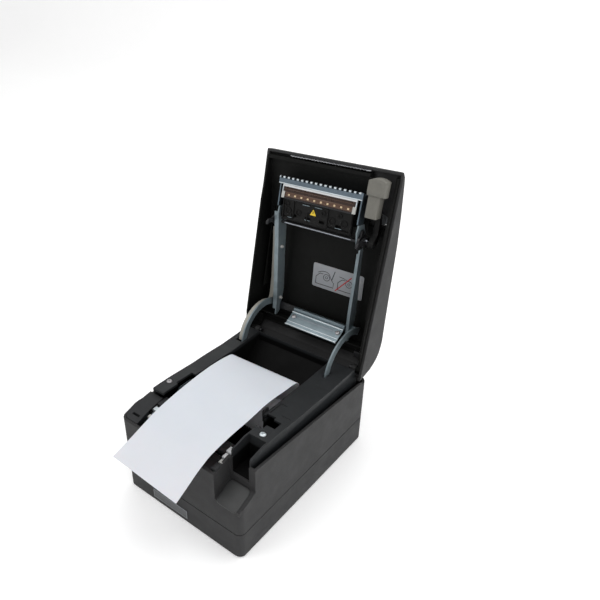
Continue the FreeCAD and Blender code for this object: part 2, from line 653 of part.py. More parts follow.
piece("paper_sensor", fuse("sensor_solid", [box("sensor_body", -8, 6, 46, 58, 80, 86),
                                            box("sensor_top", -4, 2, 49, 55, 86, 88)]))
piece("paper_tab", prism("tab_b", "YZ", [(80, 94), (88, 94), (88, 106), (86, 107.4),
                                         (81.4, 107.4), (80, 105)], 38.4, 40))

# ================================================================ PAPER
piece("paper_roll", cut(
    "roll_cut", cyl("roll_out", "x", roll_y, roll_z, paper_l + 0.2, paper_r - 0.2, roll_r),
    [cyl("roll_in", "x", roll_y, roll_z, -60, 60, core_r)]))
piece("roll_core", cut(
    "core_cut", cyl("core_out", "x", roll_y, roll_z, paper_l + 0.6, paper_r - 0.6, core_r),
    [cyl("core_in", "x", roll_y, roll_z, -60, 60, 6.6)]))

# Outer line of the paper, from the back of the roll over it and out at the front.
web_line = [  # y, z
    (140.35, 58.2), (141.2, 70), (141.9, 82), (142, 92), (141.2, 97.4), (139.2, 101.2),
    (135.6, 103.9), (130, 105.6), (117, 107.4), (104, 109), (92, 109.6), (80, 109.2),
    (70, 107.8), (60, 104.8), (50, 101.2), (42, 98.4), (36, 97), (28, 96.1), (20, 95.3),
    (8, 94), (0, 92.9), (-12, 91), (-26, 88.4), (-41, 84.8)]


def moved_in(line, distance):
    """The same line moved sideways, towards the roll."""
    moved = []
    for i, (y, z) in enumerate(line):
        before, after = line[max(i - 1, 0)], line[min(i + 1, len(line) - 1)]
        dy, dz = after[0] - before[0], after[1] - before[1]
        length = math.hypot(dy, dz)
        moved.append((y - dz / length * distance, z + dy / length * distance))
    return moved


piece("paper_web", prism("web", "YZ", web_line + moved_in(web_line, web_thk)[::-1],
                         paper_l, paper_r))

# ================================================================ HINGE AND LID
piece("hinge_pins", [cyl("hinge_pin%d" % i, "x", pivot_y, pivot_z, x0, x1, hinge_pin_r)
                     for i, (x0, x1) in enumerate(((-69.4, -56), (56, 69.4)))])

lid_out_outline = [  # s, t
    (0, 0), (-0.4, 6), (1.8, 11.6), (5.4, 20), (10.8, 27.3), (16, 32), (22, 35),
    (29, 36.3), (36.9, 36.5), (59.9, 33.1), (99.2, 27.9), (140.4, 22.6), (171.7, 16.3),
    (201.4, 8.9), (209, 6.6), (212, 3.6), (212, 0)]
lid_in_outline = [
    (2.4, -3), (2.2, 6), (4.4, 11.2), (7.8, 18.8), (12.8, 25.4), (17.4, 29.7), (22.8, 32.4),
    (29.2, 33.7), (36.6, 34), (59.6, 30.6), (98.9, 25.4), (139.9, 20.1), (171.1, 13.9),
    (200.8, 6.5), (208.4, 4.2), (209.4, 2.4), (209.4, -3)]


def is_lid_side_edge(edge):
    """Edge of the outer profile at either side, above the rim."""
    bounds = edge.BoundBox
    return (bounds.XLength < 0.01 and abs(bounds.Center.x) > 70 and bounds.Center.z > 3
            and edge.Length > 1 and bounds.ZMin > 1)


lid_cuts = [lid_prism("lid_in", lid_in_outline, wall - half_w, half_w - wall),
            lid_box("lid_rear", -70, 70, -2, 3.4, -4, 5.4),
            cyl("lid_button_hole", "z", button_x, button_y, 8, 30, 5.4)]
lid_cuts += [lid_box("lid_slot%d" % i, x0, x1, -2, 12, -4, 15)
             for i, (x0, x1) in enumerate(((-64, -57.8), (57.8, 64)))]
lid_cuts += [lid_cyl("lid_eye%d" % i, rim_back, rim_drop, x0, x1, 4.6)
             for i, (x0, x1) in enumerate(((-70, -63), (63, 70)))]
lid_out = lid_prism("lid_out", lid_out_outline, -half_w, half_w,
                    fillets=[(is_lid_side_edge, lid_edge_r)])
piece("lid_shell", cut("lid_cut", lid_out, lid_cuts), LID)

# The sloping plate of the cross bracket: centre and outward normal, as s, t.
SLOPE_CENTRE = (36.1, 12.57)
SLOPE_NORMAL = (0.7593, -0.6508)
BRACKET_SCREW_X = (-19.5, 34.2)


def slope_cyls(name, start, end, radius):
    """Cylinders square to the sloping plate at the bracket screws, start to
    end along its outward normal."""
    made = []
    (s, t), (normal_s, normal_t) = SLOPE_CENTRE, SLOPE_NORMAL
    for i, x in enumerate(BRACKET_SCREW_X):
        label = "%s%d" % (name, i)
        obj = doc.addObject("Part::Cylinder", label)
        set_size(obj, "Radius", named(label + "_rad", radius))
        set_size(obj, "Height", named(label + "_len", end - start))
        set_place(obj, named(label + "_px", x),
                  named(label + "_py", -(s + start * normal_s)),
                  named(label + "_pz", t + start * normal_t),
                  FreeCAD.Rotation(Vector(0, 0, 1), Vector(0, -normal_s, normal_t)))
        made.append(obj)
    return made


# Lid liner: a bent band with side ribs and cross walls, trimmed to the shell.
band_outer = [  # s, t
    (15.4, 24.4), (18.6, 27.8), (23.4, 30.2), (29.4, 31.3), (36.4, 31.6), (59.2, 28.2),
    (98.5, 23), (139.3, 17.7), (170.3, 11.6), (199, 4.6), (206.8, 3.1)]
band_inner = [(s + (0.5 if s < 30 else -0.2), t - 1.5) for s, t in band_outer]
rib_outline = [
    (12, 16), (20, 26), (60, 26.6), (140, 16.6), (170, 10.4), (199, 3.4), (206, 2),
    (206, -1.8), (160, -5), (30, -5), (12, 0)]
rear_trim = [(-5, 60), (20, 60), (20, 40), (12.8, 26), (7.8, 18.9), (4.4, 11.3), (2, 6), (-5, 6)]
top_trim = [
    (12.9, 25.3), (17.4, 29.6), (22.8, 32.3), (29.2, 33.6), (36.6, 33.9), (59.6, 30.5),
    (98.9, 25.3), (139.9, 20), (171.1, 13.8), (200.8, 6.4), (208.4, 4.1), (215, 4),
    (215, 60), (12.9, 60)]
knuckle_outline = [
    (8, 12.5), (11.3, 10), (12.2, 17.8), (24, 17.8), (24, 25), (15.2, 24.2), (8.8, 18.4),
    (6.4, 14.2)]
liner_solids = [lid_prism("band", band_outer + band_inner[::-1], -70.9, 70.9)]
liner_solids += [lid_prism("rib%d" % i, rib_outline, x0, x1)
                 for i, (x0, x1) in enumerate(((-70.9, -68.9), (68.9, 70.9)))]
liner_solids += [lid_box("liner_wall%d" % i, *row) for i, row in enumerate((
    (-68.9, 44, 203.4, 206.8, -3, 3.2), (-68.9, 68.9, 27, 28.6, 16.4, 31.5),
    (-24, 38, 25.4, 28.6, 12.4, 23), (-65, -63.6, 60, 150, 12.6, 24),
    (60, 61.4, 60, 130, 12.6, 24)))]
liner = cut("liner_cut", fuse("liner_solid", liner_solids), [
    lid_box("lever_room", 44.5, 66.5, 148, 208, -6, 14.5),
    lid_prism("liner_rear_trim", rear_trim, -80, 80),
    lid_prism("liner_top_trim", top_trim, -80, 80)])
# Knuckles that carry the lid on the pins.
knuckles = []
for i, (x0, x1) in enumerate(((-69.2, -63.6), (63.6, 69.2))):
    eye = lid_cyl("knuckle_eye%d" % i, rim_back, rim_drop, x0, x1, 4.2)
    leg = lid_prism("knuckle_leg%d" % i, knuckle_outline, x0, x1)
    bore = lid_cyl("knuckle_bore%d" % i, rim_back, rim_drop, x0 - 1, x1 + 1,
                   hinge_pin_r + run_gap)
    knuckles.append(cut("knuckle%d" % i, fuse("knuckle_solid%d" % i, [eye, leg]), [bore]))
piece("lid_liner", cut("liner_holed", fuse("liner_all", [liner] + knuckles),
                       slope_cyls("liner_hole", -14, -2, 1.5)), LID)

# ================================================================ ARMS


def hinge_arc(radius, angles):
    """Points (s, t) about the hinge axis; angles in degrees."""
    return [(rim_back.value + radius * math.cos(math.radians(angle)),
             rim_drop.value + radius * math.sin(math.radians(angle))) for angle in angles]


# Steel arms either side of the head, each with a flange, a link and an arc stay.
stay_angles = [24 + (-95 - 24) * k / 14 for k in range(15)]
stay_outline = hinge_arc(41, stay_angles) + hinge_arc(33.5, stay_angles)[::-1]
left_outline = [  # s, t
    (30, 18), (34, 22), (60, 24), (100, 16), (150, 8), (158, 3), (158, -7), (150, -8),
    (120, -1), (60, 11), (30, 15.5)]
left_flange = [
    (36, 15.2), (36, 16.6), (60, 12.6), (120, 0.6), (152, -6.6), (152, -8.2), (120, -1),
    (60, 11)]
right_outline = [
    (30, 18), (34, 22), (60, 24), (100, 16), (150, 8), (158, 3), (158, -7), (150, -8),
    (137, -3.4), (134, 4.8), (100, 8), (60, 11.2), (30, 15.6)]
right_flange = [
    (36, 15.2), (36, 16.6), (60, 12.8), (100, 9.6), (127, 7.2), (127, 5.8), (100, 8),
    (60, 11.2)]


def arm_piece(side, plate, flange, link_x, stay_x):
    """plate and flange are (outline, x0, x1); link_x and stay_x are (x0, x1)."""
    name = side + "_arm"
    solid = fuse(name + "_solid", [
        lid_prism(name + "_plate", *plate), lid_prism(name + "_flange", *flange),
        lid_box(name + "_link", link_x[0], link_x[1], 38.4, 46, 20.4, 22),
        lid_prism(name + "_stay", stay_outline, *stay_x)])
    piece(name, cut(name + "_cut", solid, [
        lid_cyl(name + "_latch_hole", latch_s, latch_t, -60, 60, latch_r + run_gap),
        lid_cyl(name + "_head_hole", head_s, head_t, -60, 60, head_pin_r)]), LID)


arm_piece("left", (left_outline, -46.2, -44.6), (left_flange, -49.6, -44.6),
          (-54.4, -45), (-54.4, -52.8))
arm_piece("right", (right_outline, arm_x - steel_thk, arm_x),
          (right_flange, arm_x - 3.2, arm_x), (43, 51), (49.4, 51))

bracket = fuse("cross_bracket_solid", [
    lid_box("bracket_floor", -24, 38, 38.6, 44.5, 17.2, 18.8),
    lid_box("bracket_web", -24, 38, 43, 44.5, 17.2, 22.2),
    lid_box("bracket_bar", -44.6, arm_x - steel_thk, 36.4, 44.5, 21, 22.2),
    lid_prism("bracket_slope", [(41.2, 17.3), (28.9, 2.95), (27.7, 3.98), (39.1, 17.3)],
              -24, 38)])
piece("cross_bracket", cut("cross_bracket_cut", bracket,
                           slope_cyls("bracket_hole", -4, 4, 1.6)), LID)
screw_shanks = slope_cyls("bracket_shank", -12.4, 1.5, 1.5)
screw_heads = slope_cyls("bracket_head", 0.85, 2.6, 2.6)
piece("bracket_screws", [fuse("bracket_screw%d" % i, list(pair))
                         for i, pair in enumerate(zip(screw_shanks, screw_heads))], LID)

# ================================================================ PRINT HEAD
# The head rocks on two pins held by the arms.
piece("head_pivot_pins", [
    lid_cyl("head_pin_l", head_s, head_t, -47, -42.2, head_pin_r),
    lid_cyl("head_pin_r", head_s, head_t, 38.2, arm_x + 0.6, head_pin_r)]
      if False else [
    lid_cyl("pivot_left", head_s, head_t, -47, -42.2, head_pin_r),
    lid_cyl("pivot_right", head_s, head_t, 38.2, arm_x + 0.6, head_pin_r)], LID)
holder = [lid_prism("holder_block", [(145, 3.4), (176, 3.4), (180, 1), (180, -6.8),
                                     (168, -8.2), (150, -6.6), (145, -4)], -41, 37)]
holder += [lid_prism("holder_ear%d" % i, [(146.4, -3.4), (155, -3.4), (155, 3.4),
                                          (146.4, 3.4)], x0, x1)
           for i, (x0, x1) in enumerate(((-44.4, -41), (37, 40.4)))]
holder_cuts = [lid_cyl("holder_bore%d" % i, head_s, head_t, x0, x1, head_pin_r + run_gap)
               for i, (x0, x1) in enumerate(((-46, -41.8), (37.8, 46)))]
holder_cuts += upright_cyls("holder_hole", [(x, -156) for x in (-34, -22, 16, 29)],
                            -20, -4, 2.4)
holder_cuts += [lid_box("holder_slot%d" % i, x, x + 6, 150.5, 153.4, -20, -3.4)
                for i, x in enumerate((-30, -14, 2, 20))]
piece("head_holder", cut("holder_cut", fuse("holder_solid", holder), holder_cuts), LID)
piece("head_strip", lid_prism("strip_b", [(168.2, -8.3), (181.6, -7.0), (181.6, -8.4),
                                          (168.2, -9.7)], -42, 38), LID)
piece("heat_sink", lid_prism("sink_b", [(146, 3.5), (176, 3.5), (176, 6), (146, 8.4)],
                             -36, 32), LID)
piece("head_bar", lid_box("bar_b", -38, 34, 140.4, 144.4, -6.6, -3.6), LID)
piece("head_springs", [
    cut("spring%d" % i, cyl("spring_out%d" % i, "z", x, -160, 8.2, 11.2, 2.6),
        [cyl("spring_in%d" % i, "z", x, -160, 6, 16, 1.8)])
    for i, x in enumerate((-24, 20))], LID)

# Fixed counter blade with a castellated edge.
blade = fuse("counter_solid", [
    lid_box("counter_plate", -48, 44, 182.6, 189.2, -9.6, -8),
    lid_box("counter_web", -48, 44, 184.4, 186, -8, 4.4),
    lid_box("counter_leg_l", -46.2, -45, 159, 185, -9.6, 2),
    lid_box("counter_leg_r", 42.8, 44, 159, 185, -9.6, 2)])
piece("counter_blade", cut("counter_cut", blade, [
    lid_box("castle%d" % i, -46.5 + 5.2 * i, -43.9 + 5.2 * i, 187.2, 190, -12, -5)
    for i in range(17)]), LID)

# Tear strip with a row of pointed teeth.
tear_pitch = 3.2
tear_points = []
for i in range(26):
    tear_points.append((-41.6 + i * tear_pitch, -2.4))
    tear_points.append((-41.6 + i * tear_pitch + tear_pitch / 2, -4.9))
piece("tear_strip", prism("tear_b", "XZ", [(-43.5, -2.4)] + tear_points
                          + [(43.5, -2.4), (43.5, 2.2), (-43.5, 2.2)], -209.4, -208.8), LID)

# ================================================================ LATCH
# The shaft, hooks and thumb lever turn together.
piece("latch_shaft", lid_cyl("latch_rod", latch_s, latch_t, -53.2, 59.6, latch_r), LID)
hook_outline = [  # s, t
    (138.6, 4), (143.4, 4), (143.6, -14), (141.6, -16.4), (138.4, -16.4), (138.4, -14),
    (139.4, -13.4), (139.4, -4)]
hooks = []
for i, (x0, x1) in enumerate(((-52.8, -50.8), (48.8, 50.8))):
    solid = fuse("hook_solid%d" % i, [
        lid_prism("hook_plate%d" % i, hook_outline, x0, x1),
        lid_cyl("hook_hub%d" % i, latch_s, latch_t, x0, x1, 3.6)])
    bore = lid_cyl("hook_bore%d" % i, latch_s, latch_t, x0 - 1, x1 + 1, latch_r)
    hooks.append(cut("hook%d" % i, solid, [bore]))
piece("latch_hooks", hooks, LID)
lever = fuse("lever_solid", [
    lid_cyl("lever_hub", latch_s, latch_t, 53, 59.4, 3.6),
    lid_prism("lever_arm", [(139, 4), (144, 1.5), (150, 4.6), (166, 3.6), (170, -2),
                            (187.5, -6.4), (187.5, -1.4), (174, 3.6), (166, 8.6),
                            (146, 8.6)], 53.4, 59),
    lid_prism("lever_stem", [(167.4, -1.4), (169.8, -10.6), (186, -10.6), (189, -9.8),
                             (189, -6.4), (176, -2), (170, 0.6)], 48.6, 60.2),
    lid_prism("lever_head", [(186.6, -10.6), (203, -11.2), (204.4, -9.8), (204, -7.4),
                             (188, -6.4)], 47.3, 64.6),
    lid_prism("lever_lip", [(200.4, -9), (204.4, -9), (204.4, -3.4), (202.6, -3.4),
                            (202, -7)], 47.3, 64.6)])
piece("open_lever", cut("lever_cut", lever, [
    lid_cyl("lever_bore", latch_s, latch_t, 50, 62, latch_r)]), LID)

# ================================================================ CABLE AND PANEL
cable_angles = range(-92, 17, 9)
cable_run = [  # s, t: out along the inner side and back along the outer side
    (50.6, 21.2), (70, 20), (110, 13.8), (130, 10), (130, 10.8), (110, 14.6), (70, 20.8),
    (50, 22), (43, 21)]
piece("head_cable", lid_prism("cable_b", hinge_arc(37.8, cable_angles) + cable_run
                              + hinge_arc(37, cable_angles)[::-1], -60.2, -55.2), LID)
piece("guide_label", lid_prism("label_b", [(74, 24.3), (101, 20.7), (101, 20.9), (74, 24.5)],
                               -11, 47), LID)
panel = lid_prism("panel_b", [(150.2, 20.68), (171.6, 16.38), (171.6, 16.88),
                              (150.2, 21.18)], 30, 66)
panel_cuts = [cyl("panel_button_hole", "z", button_x, button_y, 10, 30, 5.3)]
panel_cuts += upright_cyls("panel_hole", [(x, -157) for x in (34.5, 40, 45.5)], 10, 30, 1.5)
piece("panel_overlay", cut("panel_cut", panel, panel_cuts), LID)
piece("feed_button", fuse("button_solid", [
    cyl("button_cap", "z", button_x, button_y, 16.2, 19.6, 5.0),
    cyl("button_stem", "z", button_x, button_y, 14.6, 16.2, 2.4)]), LID)

# ================================================================ FINISH
doc.recompute()
for obj, prop, formula in bindings:
    obj.setExpression(prop, formula)
doc.recompute()
for label, obj, frame in pieces:
    obj.Placement = frame
doc.recompute()

bad = [(obj.Name, obj.State) for obj in doc.Objects
       if "Invalid" in obj.State or "Error" in obj.State]
bad += [(label, "shape") for label, obj, frame in pieces
        if obj.Shape.isNull() or not obj.Shape.isValid()]
if bad:
    raise SystemExit("bad objects: %s" % bad)
os.makedirs("parts", exist_ok=True)
for label, obj, frame in pieces:
    obj.Shape.exportStep("parts/%s.step" % label)
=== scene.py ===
import math
import json
import bpy
import bmesh
from mathutils import Vector, Matrix


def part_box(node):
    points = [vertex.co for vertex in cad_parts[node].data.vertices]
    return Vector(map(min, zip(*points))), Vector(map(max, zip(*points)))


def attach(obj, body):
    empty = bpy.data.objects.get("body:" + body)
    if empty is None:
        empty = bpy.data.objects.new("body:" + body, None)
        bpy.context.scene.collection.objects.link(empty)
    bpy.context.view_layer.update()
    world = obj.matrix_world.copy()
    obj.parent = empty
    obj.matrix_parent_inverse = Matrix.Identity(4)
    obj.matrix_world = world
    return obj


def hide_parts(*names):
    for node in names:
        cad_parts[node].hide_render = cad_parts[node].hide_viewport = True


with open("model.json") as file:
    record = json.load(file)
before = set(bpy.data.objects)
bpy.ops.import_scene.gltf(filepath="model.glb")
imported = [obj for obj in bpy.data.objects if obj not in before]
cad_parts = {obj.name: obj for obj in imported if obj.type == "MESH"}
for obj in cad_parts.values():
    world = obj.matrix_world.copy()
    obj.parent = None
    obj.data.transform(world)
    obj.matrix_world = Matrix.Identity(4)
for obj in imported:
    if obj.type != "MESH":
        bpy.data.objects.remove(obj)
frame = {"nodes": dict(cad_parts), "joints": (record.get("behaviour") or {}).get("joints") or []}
NODES = frame["nodes"]


def cad_box():
    lo, hi = [1e9] * 3, [-1e9] * 3
    for n in NODES:
        a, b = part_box(n)
        for i in range(3):
            lo[i] = min(lo[i], a[i])
            hi[i] = max(hi[i], b[i])
    return lo, hi


CAD_LO, CAD_HI = cad_box()

# ------------------------------------------------------------------ materials


class Mat:
    def __init__(self, name):
        self.m = bpy.data.materials.new(name)
        self.m.use_nodes = True
        self.t = self.m.node_tree
        self.b = self.t.nodes["Principled BSDF"]
        self.tc = self.t.nodes.new("ShaderNodeTexCoord")

    def n(self, kind, **kw):
        o = self.t.nodes.new(kind)
        for k, v in kw.items():
            if k in o.inputs:
                o.inputs[k].default_value = v
            else:
                setattr(o, k, v)
        return o

    def link(self, a, b):
        self.t.links.new(a, b)

    def coord(self, scale=(1, 1, 1), rot=(0, 0, 0)):
        mp = self.t.nodes.new("ShaderNodeMapping")
        mp.inputs["Scale"].default_value = scale
        mp.inputs["Rotation"].default_value = rot
        self.link(self.tc.outputs["Object"], mp.inputs["Vector"])
        return mp.outputs["Vector"]

    def noise(self, scale, detail=3, rough=0.5, coord=None, dist=0.0):
        o = self.n("ShaderNodeTexNoise")
        o.inputs["Scale"].default_value = scale
        o.inputs["Detail"].default_value = detail
        o.inputs["Roughness"].default_value = rough
        o.inputs["Distortion"].default_value = dist
        self.link(coord if coord else self.tc.outputs["Object"], o.inputs["Vector"])
        return o.outputs["Fac"]

    def ramp(self, src, stops):
        r = self.t.nodes.new("ShaderNodeValToRGB")
        el = r.color_ramp.elements
        while len(el) < len(stops):
            el.new(0.5)
        for e, (p, c) in zip(el, stops):
            e.position = p
            e.color = (*c, 1) if len(c) == 3 else c
        self.link(src, r.inputs["Fac"])
        return r.outputs["Color"]

    def remap(self, src, a, b):
        r = self.t.nodes.new("ShaderNodeMapRange")
        r.inputs["From Min"].default_value = 0.25
        r.inputs["From Max"].default_value = 0.75
        r.inputs["To Min"].default_value = a
        r.inputs["To Max"].default_value = b
        self.link(src, r.inputs["Value"])
        return r.outputs["Result"]

    def bump(self, src, strength, dist, prev=None):
        o = self.t.nodes.new("ShaderNodeBump")
        o.inputs["Strength"].default_value = strength
        o.inputs["Distance"].default_value = dist
        self.link(src, o.inputs["Height"])
        if prev:
            self.link(prev, o.inputs["Normal"])
        return o.outputs["Normal"]

    def bevel(self, radius):
        o = self.t.nodes.new("ShaderNodeBevel")
        o.samples = 4
        o.inputs["Radius"].default_value = radius
        return o.outputs["Normal"]

    def mixc(self, a, b, fac):
        o = self.t.nodes.new("ShaderNodeMix")
        o.data_type = "RGBA"
        for v, s in ((a, o.inputs[6]), (b, o.inputs[7])):
            if isinstance(v, tuple):
                s.default_value = (*v, 1)
            else:
                self.link(v, s)
        if isinstance(fac, float):
            o.inputs[0].default_value = fac
        else:
            self.link(fac, o.inputs[0])
        return o.outputs[2]


def scale3(c, k):
    return tuple(max(0.0, min(1.0, v * k)) for v in c)


def plastic(name, col, rough=0.55, grain=0.35, grain_scale=1500.0, edge=0.0005, spec=0.4, sheen=0.0):
    m = Mat(name)
    big = m.noise(22.0, 4, 0.6)
    fine = m.noise(grain_scale, 2, 0.6)
    c = m.ramp(big, [(0.3, scale3(col, 0.93)), (0.7, scale3(col, 1.07))])
    dust = m.noise(160.0, 6, 0.7)
    dm = m.ramp(dust, [(0.56, (0, 0, 0)), (0.78, (1, 1, 1))])
    k = m.t.nodes.new("ShaderNodeMath")
    k.operation = "MULTIPLY"
    k.inputs[1].default_value = 0.10
    m.link(dm, k.inputs[0])
    c = m.mixc(c, scale3(tuple(v + 0.02 for v in col), 1.5), k.outputs[0])
    m.link(c, m.b.inputs["Base Color"])
    m.link(m.remap(m.noise(60.0, 5, 0.6), rough - 0.07, rough + 0.09), m.b.inputs["Roughness"])
    m.b.inputs["Specular IOR Level"].default_value = spec
    nrm = m.bevel(edge)
    nrm = m.bump(fine, grain, 0.00012, nrm)
    m.link(nrm, m.b.inputs["Normal"])
    return m.m


def steel(name, col, rough=0.38, brushed=(1, 1, 1), edge=0.00025, metal=1.0, spangle=0.10, grain=0.12):
    m = Mat(name)
    v = m.coord(brushed)
    br = m.noise(900.0, 3, 0.6, v)
    vor = m.t.nodes.new("ShaderNodeTexVoronoi")
    vor.inputs["Scale"].default_value = 140.0
    m.link(m.tc.outputs["Object"], vor.inputs["Vector"])
    sp = m.ramp(vor.outputs["Color"], [(0.0, scale3(col, 1 - spangle)), (1.0, scale3(col, 1 + spangle))])
    stain = m.noise(35.0, 5, 0.65)
    c = m.mixc(sp, scale3(col, 0.72), m.remap(stain, 0.0, 0.35))
    m.link(c, m.b.inputs["Base Color"])
    m.b.inputs["Metallic"].default_value = metal
    m.link(m.remap(m.noise(120.0, 5, 0.7), rough - 0.1, rough + 0.14), m.b.inputs["Roughness"])
    nrm = m.bump(br, grain, 0.0001, m.bevel(edge))
    m.link(nrm, m.b.inputs["Normal"])
    return m.m


def rubber(name, col, rough=0.7):
    m = Mat(name)
    c = m.ramp(m.noise(50, 4), [(0.3, scale3(col, 0.8)), (0.7, scale3(col, 1.25))])
    m.link(c, m.b.inputs["Base Color"])
    m.link(m.remap(m.noise(80), rough - 0.1, rough + 0.1), m.b.inputs["Roughness"])
    m.link(m.bump(m.noise(2200, 2), 0.3, 0.0001, m.bevel(0.0003)), m.b.inputs["Normal"])
    return m.m


def paper(name, col, fibre=0.25):
    m = Mat(name)
    c = m.ramp(m.noise(35, 5, 0.6), [(0.3, scale3(col, 0.975)), (0.7, scale3(col, 1.0))])
    m.link(c, m.b.inputs["Base Color"])
    m.link(m.remap(m.noise(300, 4), 0.42, 0.6), m.b.inputs["Roughness"])
    m.b.inputs["Subsurface Weight"].default_value = 0.08
    m.b.inputs["Subsurface Scale"].default_value = 0.002
    v = m.coord((1, 0.25, 1))
    nrm = m.bump(m.noise(900, 4, 0.6, v), fibre, 0.00005)
    nrm = m.bump(m.noise(14, 2, 0.4), 0.12, 0.002, nrm)
    m.link(nrm, m.b.inputs["Normal"])
    return m.m


def rings(name, col, centre):
    """Wound paper: fine turns round the roll's own line on the end faces."""
    m = Mat(name)
    sep = m.t.nodes.new("ShaderNodeSeparateXYZ")
    m.link(m.tc.outputs["Object"], sep.inputs[0])
    d = []
    for ax, c in ((1, centre[0]), (2, centre[1])):
        s = m.t.nodes.new("ShaderNodeMath")
        s.operation = "SUBTRACT"
        s.inputs[1].default_value = c
        m.link(sep.outputs[ax], s.inputs[0])
        p = m.t.nodes.new("ShaderNodeMath")
        p.operation = "MULTIPLY"
        m.link(s.outputs[0], p.inputs[0])
        m.link(s.outputs[0], p.inputs[1])
        d.append(p)
    a = m.t.nodes.new("ShaderNodeMath")
    a.operation = "ADD"
    m.link(d[0].outputs[0], a.inputs[0])
    m.link(d[1].outputs[0], a.inputs[1])
    q = m.t.nodes.new("ShaderNodeMath")
    q.operation = "SQRT"
    m.link(a.outputs[0], q.inputs[0])
    sc = m.t.nodes.new("ShaderNodeMath")
    sc.operation = "MULTIPLY"
    sc.inputs[1].default_value = 9000.0
    m.link(q.outputs[0], sc.inputs[0])
    sn = m.t.nodes.new("ShaderNodeMath")
    sn.operation = "SINE"
    m.link(sc.outputs[0], sn.inputs[0])
    c = m.ramp(sn.outputs[0], [(0.0, scale3(col, 0.9)), (0.6, col)])
    m.link(c, m.b.inputs["Base Color"])
    m.b.inputs["Roughness"].default_value = 0.6
    m.link(m.bump(sn.outputs[0], 0.25, 0.00008), m.b.inputs["Normal"])
    return m.m


M = {}
M["case"] = plastic("case_plastic", (0.0235, 0.0235, 0.024), 0.6, 0.55, edge=0.0009, spec=0.28)
M["case_low"] = plastic("case_low_plastic", (0.0235, 0.0235, 0.0242), 0.6, 0.55, edge=0.0009, spec=0.28)
M["deck"] = plastic("deck_plastic", (0.015, 0.0165, 0.018), 0.55, 0.45, edge=0.0007, spec=0.3)
M["bay"] = plastic("bay_plastic", (0.010, 0.010, 0.011), 0.5, 0.3)
M["deck2"] = plastic("corner_plastic", (0.017, 0.018, 0.0195), 0.55, 0.45, edge=0.0008, spec=0.3)
M["black"] = plastic("black_moulding", (0.008, 0.008, 0.009), 0.45, 0.3)
M["liner"] = plastic("liner_plastic", (0.0052, 0.0054, 0.005), 0.62, 0.4, edge=0.0008, spec=0.12)
M["lever"] = plastic("lever_plastic", (0.150, 0.146, 0.128), 0.55, 0.4, edge=0.0006, spec=0.3)
M["lid"] = plastic("lid_plastic", (0.028, 0.028, 0.0285), 0.6, 0.55, edge=0.0012, spec=0.28)
M["holder"] = plastic("holder_plastic", (0.0052, 0.0052, 0.005), 0.52, 0.3, edge=0.0006, spec=0.16)
# pad_plastic is lighter than the case as painted light on the notch floor
M["pad"] = plastic("pad_plastic", (0.040, 0.041, 0.041), 0.5, 0.4, edge=0.0008, spec=0.35)
M["rim"] = plastic("nameplate_rim", (0.20, 0.21, 0.22), 0.4, 0.1)
M["plate"] = plastic("nameplate_plastic", (0.075, 0.079, 0.083), 0.42, 0.2)
M["cream"] = plastic("cream_acetal", (0.36, 0.35, 0.31), 0.45, 0.15)
M["white_gear"] = plastic("white_acetal", (0.72, 0.71, 0.66), 0.4, 0.15)
M["socket"] = plastic("socket_plastic", (0.015, 0.015, 0.016), 0.4, 0.25)
M["button"] = plastic("button_plastic", (0.13, 0.135, 0.14), 0.45, 0.3, edge=0.0005)
M["overlay"] = plastic("overlay_film", (0.03, 0.03, 0.033), 0.25, 0.05)
M["zinc"] = steel("zinc_steel", (0.20, 0.245, 0.265), 0.45, metal=0.5)
M["zinc_dark"] = steel("zinc_dark", (0.34, 0.36, 0.40), 0.42)
M["bright"] = steel("bright_zinc", (0.72, 0.78, 0.81), 0.36, metal=0.8)
M["mid"] = steel("mid_zinc", (0.27, 0.33, 0.36), 0.42)
M["ground"] = steel("ground_steel", (0.62, 0.63, 0.66), 0.25, (1, 8, 8))
M["blade"] = steel("blade_steel", (0.15, 0.19, 0.225), 0.42, (1, 6, 6))
M["screw"] = steel("screw_steel", (0.42, 0.41, 0.42), 0.38)
M["brass"] = steel("brass_turned", (0.62, 0.44, 0.16), 0.3)
M["alu"] = steel("cast_alu", (0.50, 0.51, 0.53), 0.5)
# painted shade: below 93.5 to 96.5 mm height the deck's colour turns near-black and its specular drops, except beyond
# 65.5 mm from the middle; this stands in for shade in the deck's low recesses
dm_ = M["deck"].node_tree
pb_ = dm_.nodes["Principled BSDF"]
src_ = pb_.inputs["Base Color"].links[0].from_socket
sx_ = dm_.nodes.new("ShaderNodeSeparateXYZ")
dm_.links.new(next(n for n in dm_.nodes if n.type == "TEX_COORD").outputs["Object"], sx_.inputs[0])
rg_ = dm_.nodes.new("ShaderNodeMapRange")
rg_.inputs["From Min"].default_value = 0.0935
rg_.inputs["From Max"].default_value = 0.0965
dm_.links.new(sx_.outputs[2], rg_.inputs["Value"])
ax_ = dm_.nodes.new("ShaderNodeMath")
ax_.operation = "ABSOLUTE"
dm_.links.new(sx_.outputs[0], ax_.inputs[0])
gt_ = dm_.nodes.new("ShaderNodeMath")
gt_.operation = "GREATER_THAN"
gt_.inputs[1].default_value = 0.0655
dm_.links.new(ax_.outputs[0], gt_.inputs[0])
painted_shade_mask_ = dm_.nodes.new("ShaderNodeMath")
painted_shade_mask_.operation = "MAXIMUM"
dm_.links.new(rg_.outputs["Result"], painted_shade_mask_.inputs[0])
dm_.links.new(gt_.outputs[0], painted_shade_mask_.inputs[1])
painted_shade_mix_ = dm_.nodes.new("ShaderNodeMix")
painted_shade_mix_.data_type = "RGBA"
painted_shade_mix_.inputs[6].default_value = (0.0035, 0.0035, 0.0035, 1)
dm_.links.new(src_, painted_shade_mix_.inputs[7])
dm_.links.new(painted_shade_mask_.outputs[0], painted_shade_mix_.inputs[0])
dm_.links.new(painted_shade_mix_.outputs[2], pb_.inputs["Base Color"])
spx_ = dm_.nodes.new("ShaderNodeMapRange")
